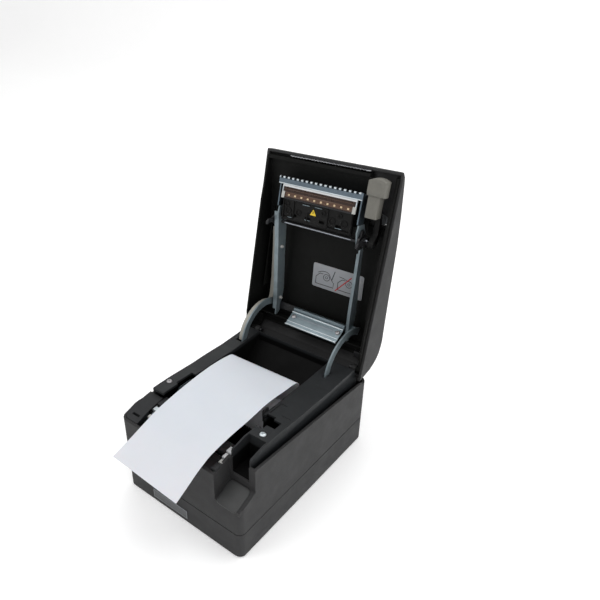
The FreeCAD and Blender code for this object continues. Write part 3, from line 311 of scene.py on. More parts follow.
spx_.inputs["From Min"].default_value = 0.0935
spx_.inputs["From Max"].default_value = 0.0965
spx_.inputs["To Min"].default_value = 0.06
spx_.inputs["To Max"].default_value = 0.3
dm_.links.new(sx_.outputs[2], spx_.inputs["Value"])
dm_.links.new(spx_.outputs["Result"], pb_.inputs["Specular IOR Level"])
M["rubber"] = rubber("roller_rubber", (0.02, 0.02, 0.022), 0.55)
M["feet"] = rubber("feet_rubber", (0.016, 0.016, 0.016))
M["paper"] = paper("thermal_paper", (0.66, 0.67, 0.715))
lo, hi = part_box("paper_roll")
RC = ((lo[1] + hi[1]) / 2, (lo[2] + hi[2]) / 2)
M["roll"] = rings("wound_paper", (0.84, 0.84, 0.87), RC)
M["card"] = paper("core_card", (0.42, 0.31, 0.19), 0.6)
M["pcb"] = plastic("board_green", (0.012, 0.10, 0.045), 0.35, 0.15)
M["chips"] = plastic("chip_black", (0.01, 0.01, 0.011), 0.5, 0.3)
M["label"] = paper("label_film", (0.27, 0.275, 0.29), 0.1)
M["strip"] = plastic("head_glaze", (0.030, 0.015, 0.010), 0.25, 0.05)
M["tan"] = plastic("head_substrate", (0.085, 0.044, 0.027), 0.3, 0.05)
M["rail"] = plastic("white_rail", (0.62, 0.63, 0.64), 0.4, 0.1)
# gold-coloured metal for the painted reflection dots on the print head
M["reflection_dots"] = steel("gold_pads", (0.85, 0.66, 0.42), 0.3)
M["hook"] = steel("blackened_steel", (0.035, 0.035, 0.037), 0.42, metal=0.7)
M["ceramic"] = plastic("end_block", (0.42, 0.42, 0.40), 0.45, 0.15)
M["yellow"] = plastic("yellow_film", (0.72, 0.50, 0.02), 0.4, 0.05)
M["ink"] = plastic("dark_print", (0.035, 0.035, 0.04), 0.5, 0.05)
M["red"] = plastic("red_print", (0.42, 0.012, 0.02), 0.5, 0.05)
M["seam"] = plastic("shadow_line", (0.004, 0.004, 0.004), 0.7, 0.05)

FINISH = {
    "lower_case": "case_low", "upper_case": "case", "rubber_feet": "feet", "case_screws": "screw", "nameplate": "plate",
    "paper_deck": "deck", "deck_screws": "screw", "corner_cover": "deck2", "exit_guide": "black", "mech_chassis": "zinc",
    "platen_bushings": "black", "platen_roller": "rubber", "platen_shaft": "ground", "platen_gear": "white_gear",
    "idler_gear": "white_gear", "motor_pinion": "brass", "idler_stud": "ground", "feed_motor": "black", "gear_cover": "black",
    "cutter_housing": "black", "cutter_motor": "alu", "cutter_blade": "blade", "latch_plates": "zinc", "rocker_frame": "socket",
    "power_rocker": "socket", "main_board": "pcb", "board_screws": "screw", "board_parts": "chips", "dc_inlet": "socket",
    "drawer_jack": "socket", "interface_plate": "zinc", "interface_port": "alu", "paper_sensor": "black", "paper_tab": "black",
    "paper_roll": "roll", "roll_core": "card", "paper_web": "paper", "hinge_pins": "hook", "lid_shell": "lid",
    "lid_liner": "liner", "left_arm": "zinc", "right_arm": "zinc", "cross_bracket": "mid", "bracket_screws": "screw",
    "head_pivot_pins": "ground", "head_bar": "zinc_dark", "head_springs": "ground", "counter_blade": "blade",
    "tear_strip": "ground", "head_cable": "cream", "guide_label": "label", "panel_overlay": "overlay", "head_holder": "holder",
    "head_strip": "strip", "heat_sink": "alu", "latch_shaft": "hook", "latch_hooks": "hook", "open_lever": "lever",
    "feed_button": "button"}


def paint(o, mat):
    o.data.materials.clear()
    o.data.materials.append(M[mat] if isinstance(mat, str) else mat)


def soften(o, width, seg=2, angle=30):
    w = o.modifiers.new("weld", "WELD")
    w.merge_threshold = 2e-6
    d = o.modifiers.new("flat", "DECIMATE")
    d.decimate_type = "DISSOLVE"
    d.angle_limit = math.radians(1.0)
    b = o.modifiers.new("edge", "BEVEL")
    b.width = width
    b.segments = seg
    b.limit_method = "ANGLE"
    b.angle_limit = math.radians(angle)
    b.harden_normals = False
    n = o.modifiers.new("normals", "WEIGHTED_NORMAL")
    n.keep_sharp = True


for name, mat in FINISH.items():
    paint(NODES[name], mat)

# ------------------------------------------------------------------ detail pieces
JO = {j["name"]: j for j in frame["joints"]}
PIV = Vector(JO["lid_hinge"]["pos_m"])
LEAN = math.radians(8.88 + 93.15)
CL, SL = math.cos(-LEAN), math.sin(-LEAN)
DECK_MID = (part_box("lower_case")[0][1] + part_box("lower_case")[1][1]) / 2


def lidw(x, s, t):
    """Lid coordinates in mm (along the lid from the hinge, out from the rim) to the row frame."""
    y, z = -(s - 7.15), t - 9.5
    return Vector((x / 1000, PIV.y + (y * CL - z * SL) / 1000, PIV.z + (y * SL + z * CL) / 1000))


def basew(x, y, z):
    """mm from the case's front face and the table to the row frame."""
    return Vector((x / 1000, (y - 106.5) / 1000, z / 1000))


def piece(name, verts, faces, mat, body, smooth=0.0, mats=None):
    me = bpy.data.meshes.new(name)
    me.from_pydata([tuple(v) for v in verts], [], faces)
    me.validate()
    bm = bmesh.new()
    bm.from_mesh(me)
    bmesh.ops.remove_doubles(bm, verts=bm.verts, dist=1e-7)
    bmesh.ops.recalc_face_normals(bm, faces=bm.faces)
    bm.to_mesh(me)
    bm.free()
    o = bpy.data.objects.new(name, me)
    bpy.context.scene.collection.objects.link(o)
    paint(o, mat)
    if smooth:
        for p in me.polygons:
            p.use_smooth = True
        me.set_sharp_from_angle(angle=math.radians(smooth))
    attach(o, body)
    return o


def rounded(pts, r, n=4):
    """Polygon with each corner turned into a short arc."""
    out = []
    m = len(pts)
    for i in range(m):
        p0, p, p1 = Vector(pts[i - 1]), Vector(pts[i]), Vector(pts[(i + 1) % m])
        a, b = (p0 - p), (p1 - p)
        rr = min(r, a.length * 0.45, b.length * 0.45)
        a, b = p + a.normalized() * rr, p + b.normalized() * rr
        for k in range(n + 1):
            w = k / n
            out.append(tuple((1 - w) ** 2 * a + 2 * w * (1 - w) * p + w * w * b))
    return out


def inset(pts, d):
    m = len(pts)
    area2 = sum(pts[i - 1][0] * pts[i][1] - pts[i][0] * pts[i - 1][1] for i in range(m))
    sg = 1 if area2 > 0 else -1
    out = []
    for i in range(m):
        p0, p, p1 = Vector(pts[i - 1]), Vector(pts[i]), Vector(pts[(i + 1) % m])
        e0, e1 = (p - p0), (p1 - p)
        n0 = Vector((-e0.y, e0.x)).normalized() * sg if e0.length > 1e-9 else Vector((0, 0))
        n1 = Vector((-e1.y, e1.x)).normalized() * sg if e1.length > 1e-9 else Vector((0, 0))
        n = (n0 + n1)
        n = n.normalized() if n.length > 1e-9 else n0
        k = max(0.5, n.dot(n0)) if n0.length else 1
        out.append(tuple(p + n * d / k))
    return out


def slab(name, pts, c0, c1, fn, mat, body, r=0.4, corner=0.0, steps=3, both=True):
    """Plate with the outline pts between heights c0 and c1, its rims rolled over by r; fn takes (a, b, c) to the frame."""
    if corner:
        pts = rounded(pts, corner)
    sg = 1 if c1 > c0 else -1
    levels = []
    if both and r:
        for k in range(steps + 1):
            q = math.radians(90 * k / steps)
            levels.append((r * (1 - math.sin(q)), c0 + sg * r * (1 - math.cos(q))))
    else:
        levels.append((0, c0))
    if r:
        for k in range(steps + 1):
            q = math.radians(90 * k / steps)
            levels.append((r * (1 - math.cos(q)), c1 - sg * r * (1 - math.sin(q))))
    else:
        levels.append((0, c1))
    n = len(pts)
    vs, fs = [], []
    for d, c in levels:
        ring = inset(pts, d) if d > 1e-6 else pts
        vs += [fn(a, b, c) for a, b in ring]
    for i in range(len(levels) - 1):
        for j in range(n):
            k = (j + 1) % n
            fs.append((i * n + j, i * n + k, (i + 1) * n + k, (i + 1) * n + j))
    fs.append(tuple(range(n)))
    fs.append(tuple(range((len(levels) - 1) * n, len(levels) * n)))
    return piece(name, vs, fs, mat, body, smooth=40)


def lbar(name, x0, x1, s0, s1, t0, t1, mat, body, r=0.3):
    """Block in the lid with its faces toward the open side rolled over."""
    return slab(name, [(x0, s0), (x1, s0), (x1, s1), (x0, s1)], t1, t0, lambda a, b, c: lidw(a, b, c), mat, body, r=r)


def bbar(name, x0, x1, y0, y1, z0, z1, mat, r=0.3, body="base"):
    return slab(name, [(x0, y0), (x1, y0), (x1, y1), (x0, y1)], z0, z1, lambda a, b, c: basew(a, b, c), mat, body, r=r)


def turned(name, c, axis, prof, mat, body, n=28):
    """Round piece: prof is a list of (distance along the axis, radius) in mm from point c."""
    ax = axis.normalized()
    u = ax.orthogonal().normalized()
    v = ax.cross(u)
    vs, fs = [], []
    for d, r in prof:
        for k in range(n):
            q = 2 * math.pi * k / n
            vs.append(c + (ax * d + u * (r * math.cos(q)) + v * (r * math.sin(q))) / 1000)
    for i in range(len(prof) - 1):
        for k in range(n):
            m = (k + 1) % n
            fs.append((i * n + k, i * n + m, (i + 1) * n + m, (i + 1) * n + k))
    fs.append(tuple(range(n)))
    fs.append(tuple(range((len(prof) - 1) * n, len(prof) * n)))
    return piece(name, vs, fs, mat, body, smooth=35)


def screw(name, c, axis, r, h, mat, body, drive=0.55):
    """Pan-head screw with a cross-shaped recess."""
    ax = axis.normalized()
    u = ax.orthogonal().normalized()
    v = ax.cross(u)
    n = 32
    rings = [(0, r), (h * 0.45, r), (h * 0.8, r * 0.86), (h, r * 0.62)]
    vs, fs = [], []
    for d, q in rings:
        for k in range(n):
            a = 2 * math.pi * k / n
            vs.append(c + (ax * d + u * (q * math.cos(a)) + v * (q * math.sin(a))) / 1000)
    for i in range(len(rings) - 1):
        for k in range(n):
            m = (k + 1) % n
            fs.append((i * n + k, i * n + m, (i + 1) * n + m, (i + 1) * n + k))
    # cross recess: alternate the inner ring between deep arms and shoulders
    base = (len(rings) - 1) * n
    b2 = len(vs)
    for k in range(n):
        a = 2 * math.pi * k / n
        arm = abs(math.cos(2 * a)) ** 6
        q = r * (0.16 + (drive - 0.16) * arm)
        vs.append(c + (ax * h * 1.0 + u * (q * math.cos(a)) + v * (q * math.sin(a))) / 1000)
    b3 = len(vs)
    for k in range(n):
        a = 2 * math.pi * k / n
        arm = abs(math.cos(2 * a)) ** 6
        q = r * (0.14 + (drive - 0.2) * arm)
        vs.append(c + (ax * h * 0.3 + u * (q * math.cos(a)) + v * (q * math.sin(a))) / 1000)
    for k in range(n):
        m = (k + 1) % n
        fs.append((base + k, base + m, b2 + m, b2 + k))
        fs.append((b2 + k, b2 + m, b3 + m, b3 + k))
    fs.append(tuple(range(b3, b3 + n)))
    fs.append(tuple(range(n)))
    return piece(name, vs, fs, mat, body, smooth=30)


def curve_pts(pts, sub):
    """Smooth line through the given points."""
    out = []
    m = len(pts)
    for i in range(m - 1):
        p0, p1, p2, p3 = (Vector(pts[max(i - 1, 0)]), Vector(pts[i]), Vector(pts[i + 1]), Vector(pts[min(i + 2, m - 1)]))
        for k in range(sub):
            w = k / sub
            out.append(0.5 * ((2 * p1) + (p2 - p0) * w + (2 * p0 - 5 * p1 + 4 * p2 - p3) * w * w +
                              (3 * p1 - p0 - 3 * p2 + p3) * w ** 3))
    out.append(Vector(pts[-1]))
    return out


# -- the pulled-out sheet: left and right edges, back to front, mm
left_e = [(140.3, 58.6), (141.4, 74), (142, 88), (141.0, 97), (138.2, 101.8), (133, 104.9), (122, 107.2), (110.8, 108.6),
          (100, 109.4), (91.8, 109.6), (80, 109.6), (65.7, 109.0), (54, 108.3), (42.1, 107.2), (32, 106.2), (23.1, 105.0),
          (13, 102.8), (3.6, 100.2), (-6, 97.6), (-15.4, 95), (-28, 91.8), (-40, 89)]
right_e = [(140.3, 58.6), (141.4, 74), (142.2, 88), (142.2, 96), (140.6, 100.6), (136.4, 103.6), (128, 105.2), (117.3, 106.2),
           (105, 107.8), (92.9, 109.0), (82, 109.2), (72.7, 108.6), (62, 108.1), (51.5, 107.9), (40, 107.9), (28, 107.4),
           (15.4, 106.4), (5, 105.0), (-3, 102.4), (-13, 98.4), (-26, 91.8), (-40.5, 84.7)]
Lc, Rc = curve_pts(left_e, 6), curve_pts(right_e, 6)
NX = 24
TH = 0.11
top_v, rows = [], len(Lc)
for i in range(rows):
    for j in range(NX + 1):
        w = j / NX
        e = w * w * (3 - 2 * w) * 0.35 + w * 0.65
        y = Lc[i].x * (1 - e) + Rc[i].x * e
        z = Lc[i].y * (1 - e) + Rc[i].y * e
        top_v.append(basew(-41.8 + 79.5 * w, y, z))
nrm = []
for i in range(rows):
    for j in range(NX + 1):
        a = top_v[min(i + 1, rows - 1) * (NX + 1) + j] - top_v[max(i - 1, 0) * (NX + 1) + j]
        b = top_v[i * (NX + 1) + min(j + 1, NX)] - top_v[i * (NX + 1) + max(j - 1, 0)]
        nrm.append(b.cross(a).normalized())
sgn = 1 if nrm[(rows // 2) * (NX + 1)].z > 0 else -1
bot_v = [p - q * (sgn * TH / 1000) for p, q in zip(top_v, nrm)]
fs = []
N1 = len(top_v)
for i in range(rows - 1):
    for j in range(NX):
        a = i * (NX + 1) + j
        fs.append((a, a + 1, a + NX + 2, a + NX + 1))
        fs.append((N1 + a, N1 + a + NX + 1, N1 + a + NX + 2, N1 + a + 1))
for i in range(rows - 1):
    for j in (0, NX):
        a = i * (NX + 1) + j
        fs.append((a, a + NX + 1, N1 + a + NX + 1, N1 + a))
for i in (0, rows - 1):
    for j in range(NX):
        a = i * (NX + 1) + j
        fs.append((a, a + 1, N1 + a + 1, N1 + a))
sheet = piece("paper_sheet", top_v + bot_v, fs, "paper", "base", smooth=60)
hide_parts("paper_web")

# -- thumb lever: domed head with a dished front, square stem, hidden lower arm
HX0, HX1, HS0 = 47.3, 65.2, 188.4


def head_top(x):
    w = (x - (HX0 + HX1) / 2) / ((HX1 - HX0) / 2)
    return 205.2 - 2.6 * w * w


nx, ns, rr = 30, 26, 1.3
vs, fs = [], []
for i in range(ns + 1):
    for j in range(nx + 1):
        x = HX0 + (HX1 - HX0) * j / nx
        hi_s = head_top(x)
        s_ = HS0 + (hi_s - HS0) * i / ns
        d = min(x - HX0, HX1 - x, s_ - HS0, hi_s - s_)
        rise = 0.0 if d >= rr else rr - math.sqrt(max(0.0, rr * rr - (rr - d) ** 2))
        rho = math.hypot(x - 56.2, (s_ - 196.2))
        dish = 1.1 * (1 - (rho / 6.4) ** 2) if rho < 6.4 else 0.0
        rim = 0.18 * math.exp(-((rho - 6.6) / 0.5) ** 2)
        vs.append(lidw(x, s_, -12.8 + rise + dish - rim + 1.6 * max(0.0, (192.4 - s_) / 4.0)))
front = (ns + 1) * (nx + 1)
edge = [j for j in range(nx + 1)] + [i * (nx + 1) + nx for i in range(1, ns + 1)] + \
       [ns * (nx + 1) + j for j in range(nx - 1, -1, -1)] + [i * (nx + 1) for i in range(ns - 1, 0, -1)]
for i in range(ns):
    for j in range(nx):
        a = i * (nx + 1) + j
        fs.append((a, a + 1, a + nx + 2, a + nx + 1))
ring_prev = edge
for depth, shrink in ((-6, 0.0), (-3.6, 0.0), (-3.0, 0.5)):
    cur = []
    for idx in edge:
        i, j = divmod(idx, nx + 1)
        x = HX0 + (HX1 - HX0) * j / nx
        s_ = HS0 + (head_top(x) - HS0) * i / ns
        x = (x - 56.25) * (1 - shrink / 10) + 56.25
        s_ = (s_ - 196.8) * (1 - shrink / 9) + 196.8
        cur.append(len(vs))
        vs.append(lidw(x, s_, depth))
    m = len(edge)
    for k in range(m):
        q = (k + 1) % m
        fs.append((ring_prev[k], ring_prev[q], cur[q], cur[k]))
    ring_prev = cur
fs.append(tuple(ring_prev))
lever_head = piece("lever_head", vs, fs, "lever", "lever", smooth=38)
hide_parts("open_lever")
slab("lever_stem", [(48.6, 167.4), (60.2, 167.4), (60.2, 189.4), (48.6, 189.4)], 0.5, -9.6, lidw, "lever", "lever", r=0.7, corner=0.8)
arm_pts = [(139, 4.6), (137.6, 1), (139, -2.4), (143, -2.4), (150, 4.4), (166, 3.2), (168, -2), (178, -3), (182, 0.4), (172, 5.6), (160, 8.8), (146, 8.8)]
slab("lever_arm", arm_pts, 53.4, 59, lambda a, b, c: lidw(c, a, b), "holder", "lever", r=0.5, corner=1.2)
turned("lever_hub", lidw(53, 141, 1), Vector((1, 0, 0)), [(0, 3.0), (0.4, 3.6), (6.0, 3.6), (6.4, 3.0)], "holder", "lever")

# -- hooks: blackened plates with a pin each
hook = [(137.6, 5.4), (144.6, 5.4), (147.6, 1.4), (146.4, -4.6), (144.2, -8), (143.8, -14), (141.6, -16.6), (138.4, -16.6), (138.2, -14.2),
        (139.6, -13.2), (139.6, -6), (136.4, -2.4), (136, 2.6)]
hk_l = slab("hook_left", hook, -52.9, -50.8, lambda a, b, c: lidw(c, a, b), "hook", "lever", r=0.25, corner=0.8)
hk_r = slab("hook_right", hook, 48.7, 50.9, lambda a, b, c: lidw(c, a, b), "hook", "lever", r=0.25, corner=0.8)
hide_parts("latch_hooks")
slab("cam_right", [(133.6, -5.0), (138.6, -8.6), (145.4, -7.2), (149.2, -1.6), (148.0, 4.6), (142.0, 7.6), (135.0, 4.6)], 44.9, 47.4, lambda a, b, c: lidw(c, a, b), "hook", "lever", r=0.3, corner=1.4)
slab("cam_right_web", [(145.0, -4.6), (152.4, -3.4), (153.6, 0.6), (146.2, 3.0)], 45.3, 47.0, lambda a, b, c: lidw(c, a, b), "hook", "lever", r=0.2, corner=0.6)
turned("hook_pin_right", lidw(50.9, 144.2, -1.6), Vector((1, 0, 0)), [(0, 1.3), (1.6, 1.3), (1.9, 1.0)], "zinc_dark", "lever")
turned("hook_pin_left", lidw(-50.8, 144.2, -1.6), Vector((1, 0, 0)), [(0, 1.3), (1.3, 1.3), (1.6, 1.0)], "ground", "lever")

# -- print head front: frame line, ceramic, bright metal dots as painted reflections on the epoxy cover, end blocks
tt = lambda s_: -9.7 + (s_ - 168.2) * 1.3 / 13.4


def strip_bar(name, x0, x1, s0, s1, up0, up1, mat, r=0.12):
    return slab(name, [(x0, s0), (x1, s0), (x1, s1), (x0, s1)], up0, up1, lambda a, b, c: lidw(a, b, tt(b) - c), mat, "head", r=r)


strip_bar("strip_ceramic", -41.8, 37.8, 168.4, 181.4, -1.2, 0.05, "strip")
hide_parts("head_strip")
strip_bar("strip_top_rail", -42.6, 38.8, 179.7, 181.7, -1.0, 0.7, "rail", 0.25)
strip_bar("strip_tan_band", -39.2, 35.6, 169.8, 174.6, 0.0, 0.16, "tan", 0.05)
strip_bar("strip_low_rail", -41.6, 37.6, 167.7, 169.0, -0.8, 0.5, "hook", 0.2)
# ten small gold-metal dots: painted reflections of light on the head's epoxy cover
for i in range(10):
    x = -34.6 + 7.35 * i
    strip_bar("strip_pad_%02d" % i, x - 1.0, x + 1.0, 171.0, 172.7, 0.1, 0.42, "reflection_dots", 0.12)
strip_bar("strip_heater_line", -40, 36, 177.0, 177.5, 0.0, 0.12, "tan", 0.03)
strip_bar("strip_end_left", -42.9, -39.6, 168.2, 174.8, -1.2, 0.9, "ceramic", 0.3)
strip_bar("strip_end_right", 36.0, 39.3, 168.2, 174.8, -1.2, 0.9, "ceramic", 0.3)
strip_bar("strip_side_left", -43.0, -42.0, 174.8, 181.4, -1.2, 0.6, "bright", 0.2)
strip_bar("strip_side_right", 38.2, 39.2, 174.8, 181.4, -1.2, 0.6, "bright", 0.2)

# -- holder relief: collars, ribs, thin light-metal strips beside the ribs as painted highlights, plain triangle
th = lambda s_: -6.6 - 1.6 * max(0.0, min(1.0, (s_ - 150) / 18.0))
for i, (x, s_, ro) in enumerate(((-34, 156, 3.6), (-22, 156, 3.2), (16, 156, 3.6), (29, 156, 3.6), (-36, 162.6, 2.8), (6, 161.4, 2.6), (24, 163, 2.4))):
    c = lidw(x, s_, th(s_) + 0.2)
    out = lidw(0, 0, -1) - lidw(0, 0, 0)
    ri = ro - 0.9
    turned("holder_collar_%d" % i, c, out, [(0, ri), (0.85, ri), (1.0, ri + 0.2), (1.0, ro - 0.2), (0.8, ro), (-0.3, ro), (-0.3, ri)], "holder", "head", 32)
for i, (x0, x1, s0, s1) in enumerate(((-40.6, -39.4, 146, 167), (-28.4, -27.4, 147, 167), (-12, -11, 148, 158), (10.4, 11.4, 147, 167), (35.4, 36.6, 146, 167),
                                      (-27, 10, 166.2, 167.2), (-39, -29, 147.4, 148.4), (12, 35, 147.4, 148.4))):
    slab("holder_rib_%d" % i, [(x0, s0), (x1, s0), (x1, s1), (x0, s1)], 0.0, 1.3, lambda a, b, c: lidw(a, b, th(b) + 0.3 - c), "holder", "head", r=0.25)
# thin light-metal strips beside the ribs: painted highlights on the edges of the relief
for i, (x0, x1, s0) in enumerate(((-18, -10, 165.0), (-4, 4, 165.2), (-34, -29.4, 148.9), (-14, -8, 150.2), (20, 27, 149.8))):
    slab("holder_mark_%d" % i, [(x0, s0), (x1, s0), (x1, s0 + 0.5), (x0, s0 + 0.5)], 0.0, 1.0, lambda a, b, c: lidw(a, b, th(b) + 0.3 - c), "mid", "head", r=0.1)
tri = [(-9.0, 156.6), (-1.8, 156.6), (-5.4, 163.0)]
slab("plain_triangle", tri, 0.0, 0.28, lambda a, b, c: lidw(a, b, th(b) - c), "yellow", "head", r=0.06, corner=0.8)
slab("triangle_bar", [(-5.85, 158.6), (-4.95, 158.6), (-4.95, 161.0), (-5.85, 161.0)], 0.26, 0.36, lambda a, b, c: lidw(a, b, th(b) - c), "ink", "head", r=0.03)

# rod under the holder, and thin rims on the comb plate (teeth and fold) in bright zinc: the teeth are real, their
# bright finish is painted glints
rod = turned("head_rod", lidw(-37.6, 142.2, -5.2), Vector((1, 0, 0)), [(0, 0.4), (0.2, 0.6), (75.0, 0.6), (75.2, 0.4)], "zinc_dark", "lid", 16)
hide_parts("head_bar")
for i in range(18):
    x0 = -48 + 0.3 if i == 0 else -43.9 + 5.2 * (i - 1) + 0.15
    x1 = -46.5 - 0.15 if i == 0 else min(-46.5 + 5.2 * i - 0.15, 43.9)
    if x1 - x0 > 0.5:
        lbar("comb_tip_%02d" % i, x0, x1, 187.9, 189.35, -9.85, -7.95, "bright", "lid", 0.1)
lbar("comb_fold", -47.8, 43.8, 182.1, 183.0, -10.0, -8.2, "bright", "lid", 0.2)

# -- guide label: film with line drawings of a roll being loaded
tl = lambda s_: 24.28 - (s_ - 74) * 3.6 / 27.0


def on_label(a, b, c):
    return lidw(a, b, tl(b) - c)


film = slab("label_film", [(-11, 74), (47, 74), (47, 101), (-11, 101)], 0.0, 0.12, on_label, "label", "lid", r=0.03, corner=2.4)
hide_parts("guide_label")


def ribbon(name, pts, width, mat, h=0.10):
    vs, fs = [], []
    m = len(pts)
    for i in range(m):
        p0, p1 = Vector(pts[max(i - 1, 0)]), Vector(pts[min(i + 1, m - 1)])
        d = (p1 - p0).normalized()
        n = Vector((-d.y, d.x)) * (width / 2)
        p = Vector(pts[i])
        for q, c in ((p - n, 0.10), (p - n, 0.12 + h), (p + n, 0.12 + h), (p + n, 0.10)):
            vs.append(on_label(q.x, q.y, c))
    for i in range(m - 1):
        for k in range(4):
            q = (k + 1) % 4
            fs.append((i * 4 + k, i * 4 + q, i * 4 + 4 + q, i * 4 + 4 + k))
    fs.append((0, 1, 2, 3))
    fs.append(tuple((m - 1) * 4 + k for k in range(4)))
    return piece(name, vs, fs, mat, "lid", smooth=40)


def circle(cx_, cy_, r_, n=28, a0=0, a1=360):
    return [(cx_ + r_ * math.cos(math.radians(a0 + (a1 - a0) * k / n)), cy_ + r_ * math.sin(math.radians(a0 + (a1 - a0) * k / n)))
            for k in range(n + 1)]


for k, ox in enumerate((0, 26)):
    ribbon("drawing_tray_%d" % k, [(ox - 7, 78), (ox - 7, 86), (ox - 2.5, 90.5), (ox + 1, 90.5)], 0.7, "ink")
    ribbon("drawing_floor_%d" % k, [(ox - 7, 78), (ox + 14, 78), (ox + 14, 84)], 0.7, "ink")
    ribbon("drawing_roll_%d" % k, circle(ox + 5.4, 87.4, 3.6), 0.6, "ink")
    ribbon("drawing_core_%d" % k, circle(ox + 5.4, 87.4, 1.3, 16), 0.5, "ink")
    if k == 0:
        ribbon("drawing_sheet_0", [tuple(p) for p in curve_pts([(ox - 5, 91), (ox + 1, 93.6), (ox + 7, 93.0), (ox + 10.4, 88), (ox + 13, 84)], 5)], 0.6, "ink")
        ribbon("drawing_lid_0", [(ox + 11.6, 86), (ox + 14.6, 97)], 0.9, "ink")
    else:
        ribbon("drawing_sheet_1", [tuple(p) for p in curve_pts([(ox - 6, 93), (ox - 1, 92.4), (ox + 3, 91.2), (ox + 8, 90.6)], 5)], 0.6, "ink")
ribbon("drawing_no", [(16.6, 75.8), (33.5, 95.6)], 1.0, "red", 0.14)

# -- bracket plate and rims, its screws, a hinge stop, studs on the arms
nb = Vector((0.7593, -0.6508))
db = Vector((0.651, 0.759))


def on_plate(a, b, c):
    """a across, b up the sloping plate from its lower edge, c out of it."""
    q = Vector((28.3, 3.46)) + db * b + nb * (0.79 + c)
    return lidw(a, q.x, q.y)


br_p = slab("bracket_plate", [(-24, 0), (38, 0), (38, 17.2), (-24, 17.2)], -1.58, 0.0, on_plate, "mid", "lid", r=0.2)
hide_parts("cross_bracket")
lbar("bracket_flange", -24, 38, 39.0, 44.5, 17.2, 18.8, "mid", "lid", 0.3)
lbar("bracket_back", -24, 38, 43.0, 44.5, 18.8, 22.2, "mid", "lid", 0.2)
# the link is zinc like the rest of the bracket; it is coloured black as painted shade where it sits deep in the lid
lbar("bracket_link", -44.6, 42.8, 36.4, 44.4, 21.0, 22.2, "black", "lid", 0.2)
slab("bracket_lip_low", [(-24, 0.2), (38, 0.2), (38, 1.5), (-24, 1.5)], -1.2, 1.0, on_plate, "bright", "lid", r=0.3)
slab("bracket_fold", [(-24, 4.6), (38, 4.6), (38, 5.4), (-24, 5.4)], -0.2, 0.5, on_plate, "bright", "lid", r=0.2)
slab("bracket_lip_top", [(-24, 16.2), (38, 16.2), (38, 17.6), (-24, 17.6)], -0.4, 1.2, on_plate, "bright", "lid", r=0.3)
slab("bracket_groove", [(-15.6, 12.0), (30.6, 12.0), (30.6, 12.6), (-15.6, 12.6)], -0.2, 0.08, on_plate, "zinc_dark", "lid", r=0.03)
pn3 = (on_plate(0, 8, 1) - on_plate(0, 8, 0)).normalized()
bs_ = screw("bracket_screw_left", on_plate(-19.5, 12.0, 0.02), pn3, 2.6, 1.5, "screw", "lid")
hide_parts("bracket_screws")
screw("bracket_screw_right", on_plate(34.2, 12.0, 0.02), pn3, 2.6, 1.5, "screw", "lid")
lbar("hinge_stop", 53.0, 62.5, 15.0, 21.5, 17.4, 22.0, "black", "lid", 0.6)
turned("arm_stud_top", lidw(-44.6, 112, 6.5), Vector((1, 0, 0)), [(0, 1.8), (1.0, 1.8), (1.3, 1.3), (2.2, 1.3)], "ceramic", "lid", 20)
turned("arm_stud_low", lidw(-44.6, 50, 19), Vector((1, 0, 0)), [(0, 1.8), (1.0, 1.8), (1.3, 1.3), (2.2, 1.3)], "ceramic", "lid", 20)

# -- floor of the finger notch: a pad with rounded front corners on the slope, coloured a lighter grey than the case as painted light on the upward-facing floor
def on_notch(a, b, c):
    k = (b + 2.0) / 24.1
    return basew(a, b, 60.4 + 9.8 * k + c)


slab("notch_pad", [(46.9, -1.6), (69.8, -1.6), (69.8, 21.8), (46.9, 21.8)], -0.6, 0.9, on_notch, "pad", "base", r=0.6, corner=4.5)

# -- thin raised rim round the blank nameplate
np_lo, np_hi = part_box("nameplate")
nx0, nx1, nz0, nz1 = np_lo[0] * 1000 + 0.5, np_hi[0] * 1000 - 0.5, np_lo[2] * 1000 + 0.5, np_hi[2] * 1000 - 0.5
for i, (x0, x1, z0, z1) in enumerate(((nx0, nx1, nz0, nz0 + 0.7), (nx0, nx1, nz1 - 0.7, nz1), (nx0, nx0 + 0.7, nz0 + 0.7, nz1 - 0.7),
                                      (nx1 - 0.7, nx1, nz0 + 0.7, nz1 - 0.7))):
    slab("nameplate_rim_%d" % i, [(x0, z0), (x1, z0), (x1, z1), (x0, z1)], -0.1, 0.25,
         lambda a, b, c: Vector((a / 1000, np_lo[1] - c / 1000, b / 1000)), "rim", "base", r=0.1)

# -- deck screws, latch and platen ends, edges of the openings
zx = Vector((0, 0, 1))
lo1, hi1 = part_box("deck_screws")
ds1 = screw("deck_screw_left", basew(-62.5, 60, 103.9), zx, 3.1, 1.9, "screw", "base")
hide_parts("deck_screws")
screw("deck_screw_right", basew(56.5, 56, 104.2), zx, 3.1, 1.9, "bright", "base")
bbar("clip_right", 39.2, 44.9, 25.6, 32.0, 93.8, 97.8, "rail", 0.4)
bbar("clip_right_low", 39.4, 44.9, 19.0, 24.8, 90.4, 95.8, "rail", 0.4)
bbar("clip_right_front", 40.2, 44.6, 13.0, 17.6, 88.9, 94.4, "ceramic", 0.5)
bbar("block_right_front", 39.6, 45.0, 3.4, 11.6, 88.0, 94.6, "deck2", 0.6)
bbar("block_right_black", 39.4, 45.0, 32.6, 42.6, 88.0, 95.2, "black", 0.8)
bbar("block_right_small", 40.2, 45.0, 44.4, 60.6, 86.0, 92.6, "black", 0.8)
bbar("clip_left", -51.6, -45.4, 24.0, 29.0, 93.0, 98.2, "bright", 0.4)
bbar("clip_left_low", -50.6, -45.0, 15.4, 19.0, 90.4, 95.4, "ceramic", 0.5)
bbar("block_left_black", -52.0, -46.9, 31.0, 44.0, 88.0, 100.4, "black", 0.8)

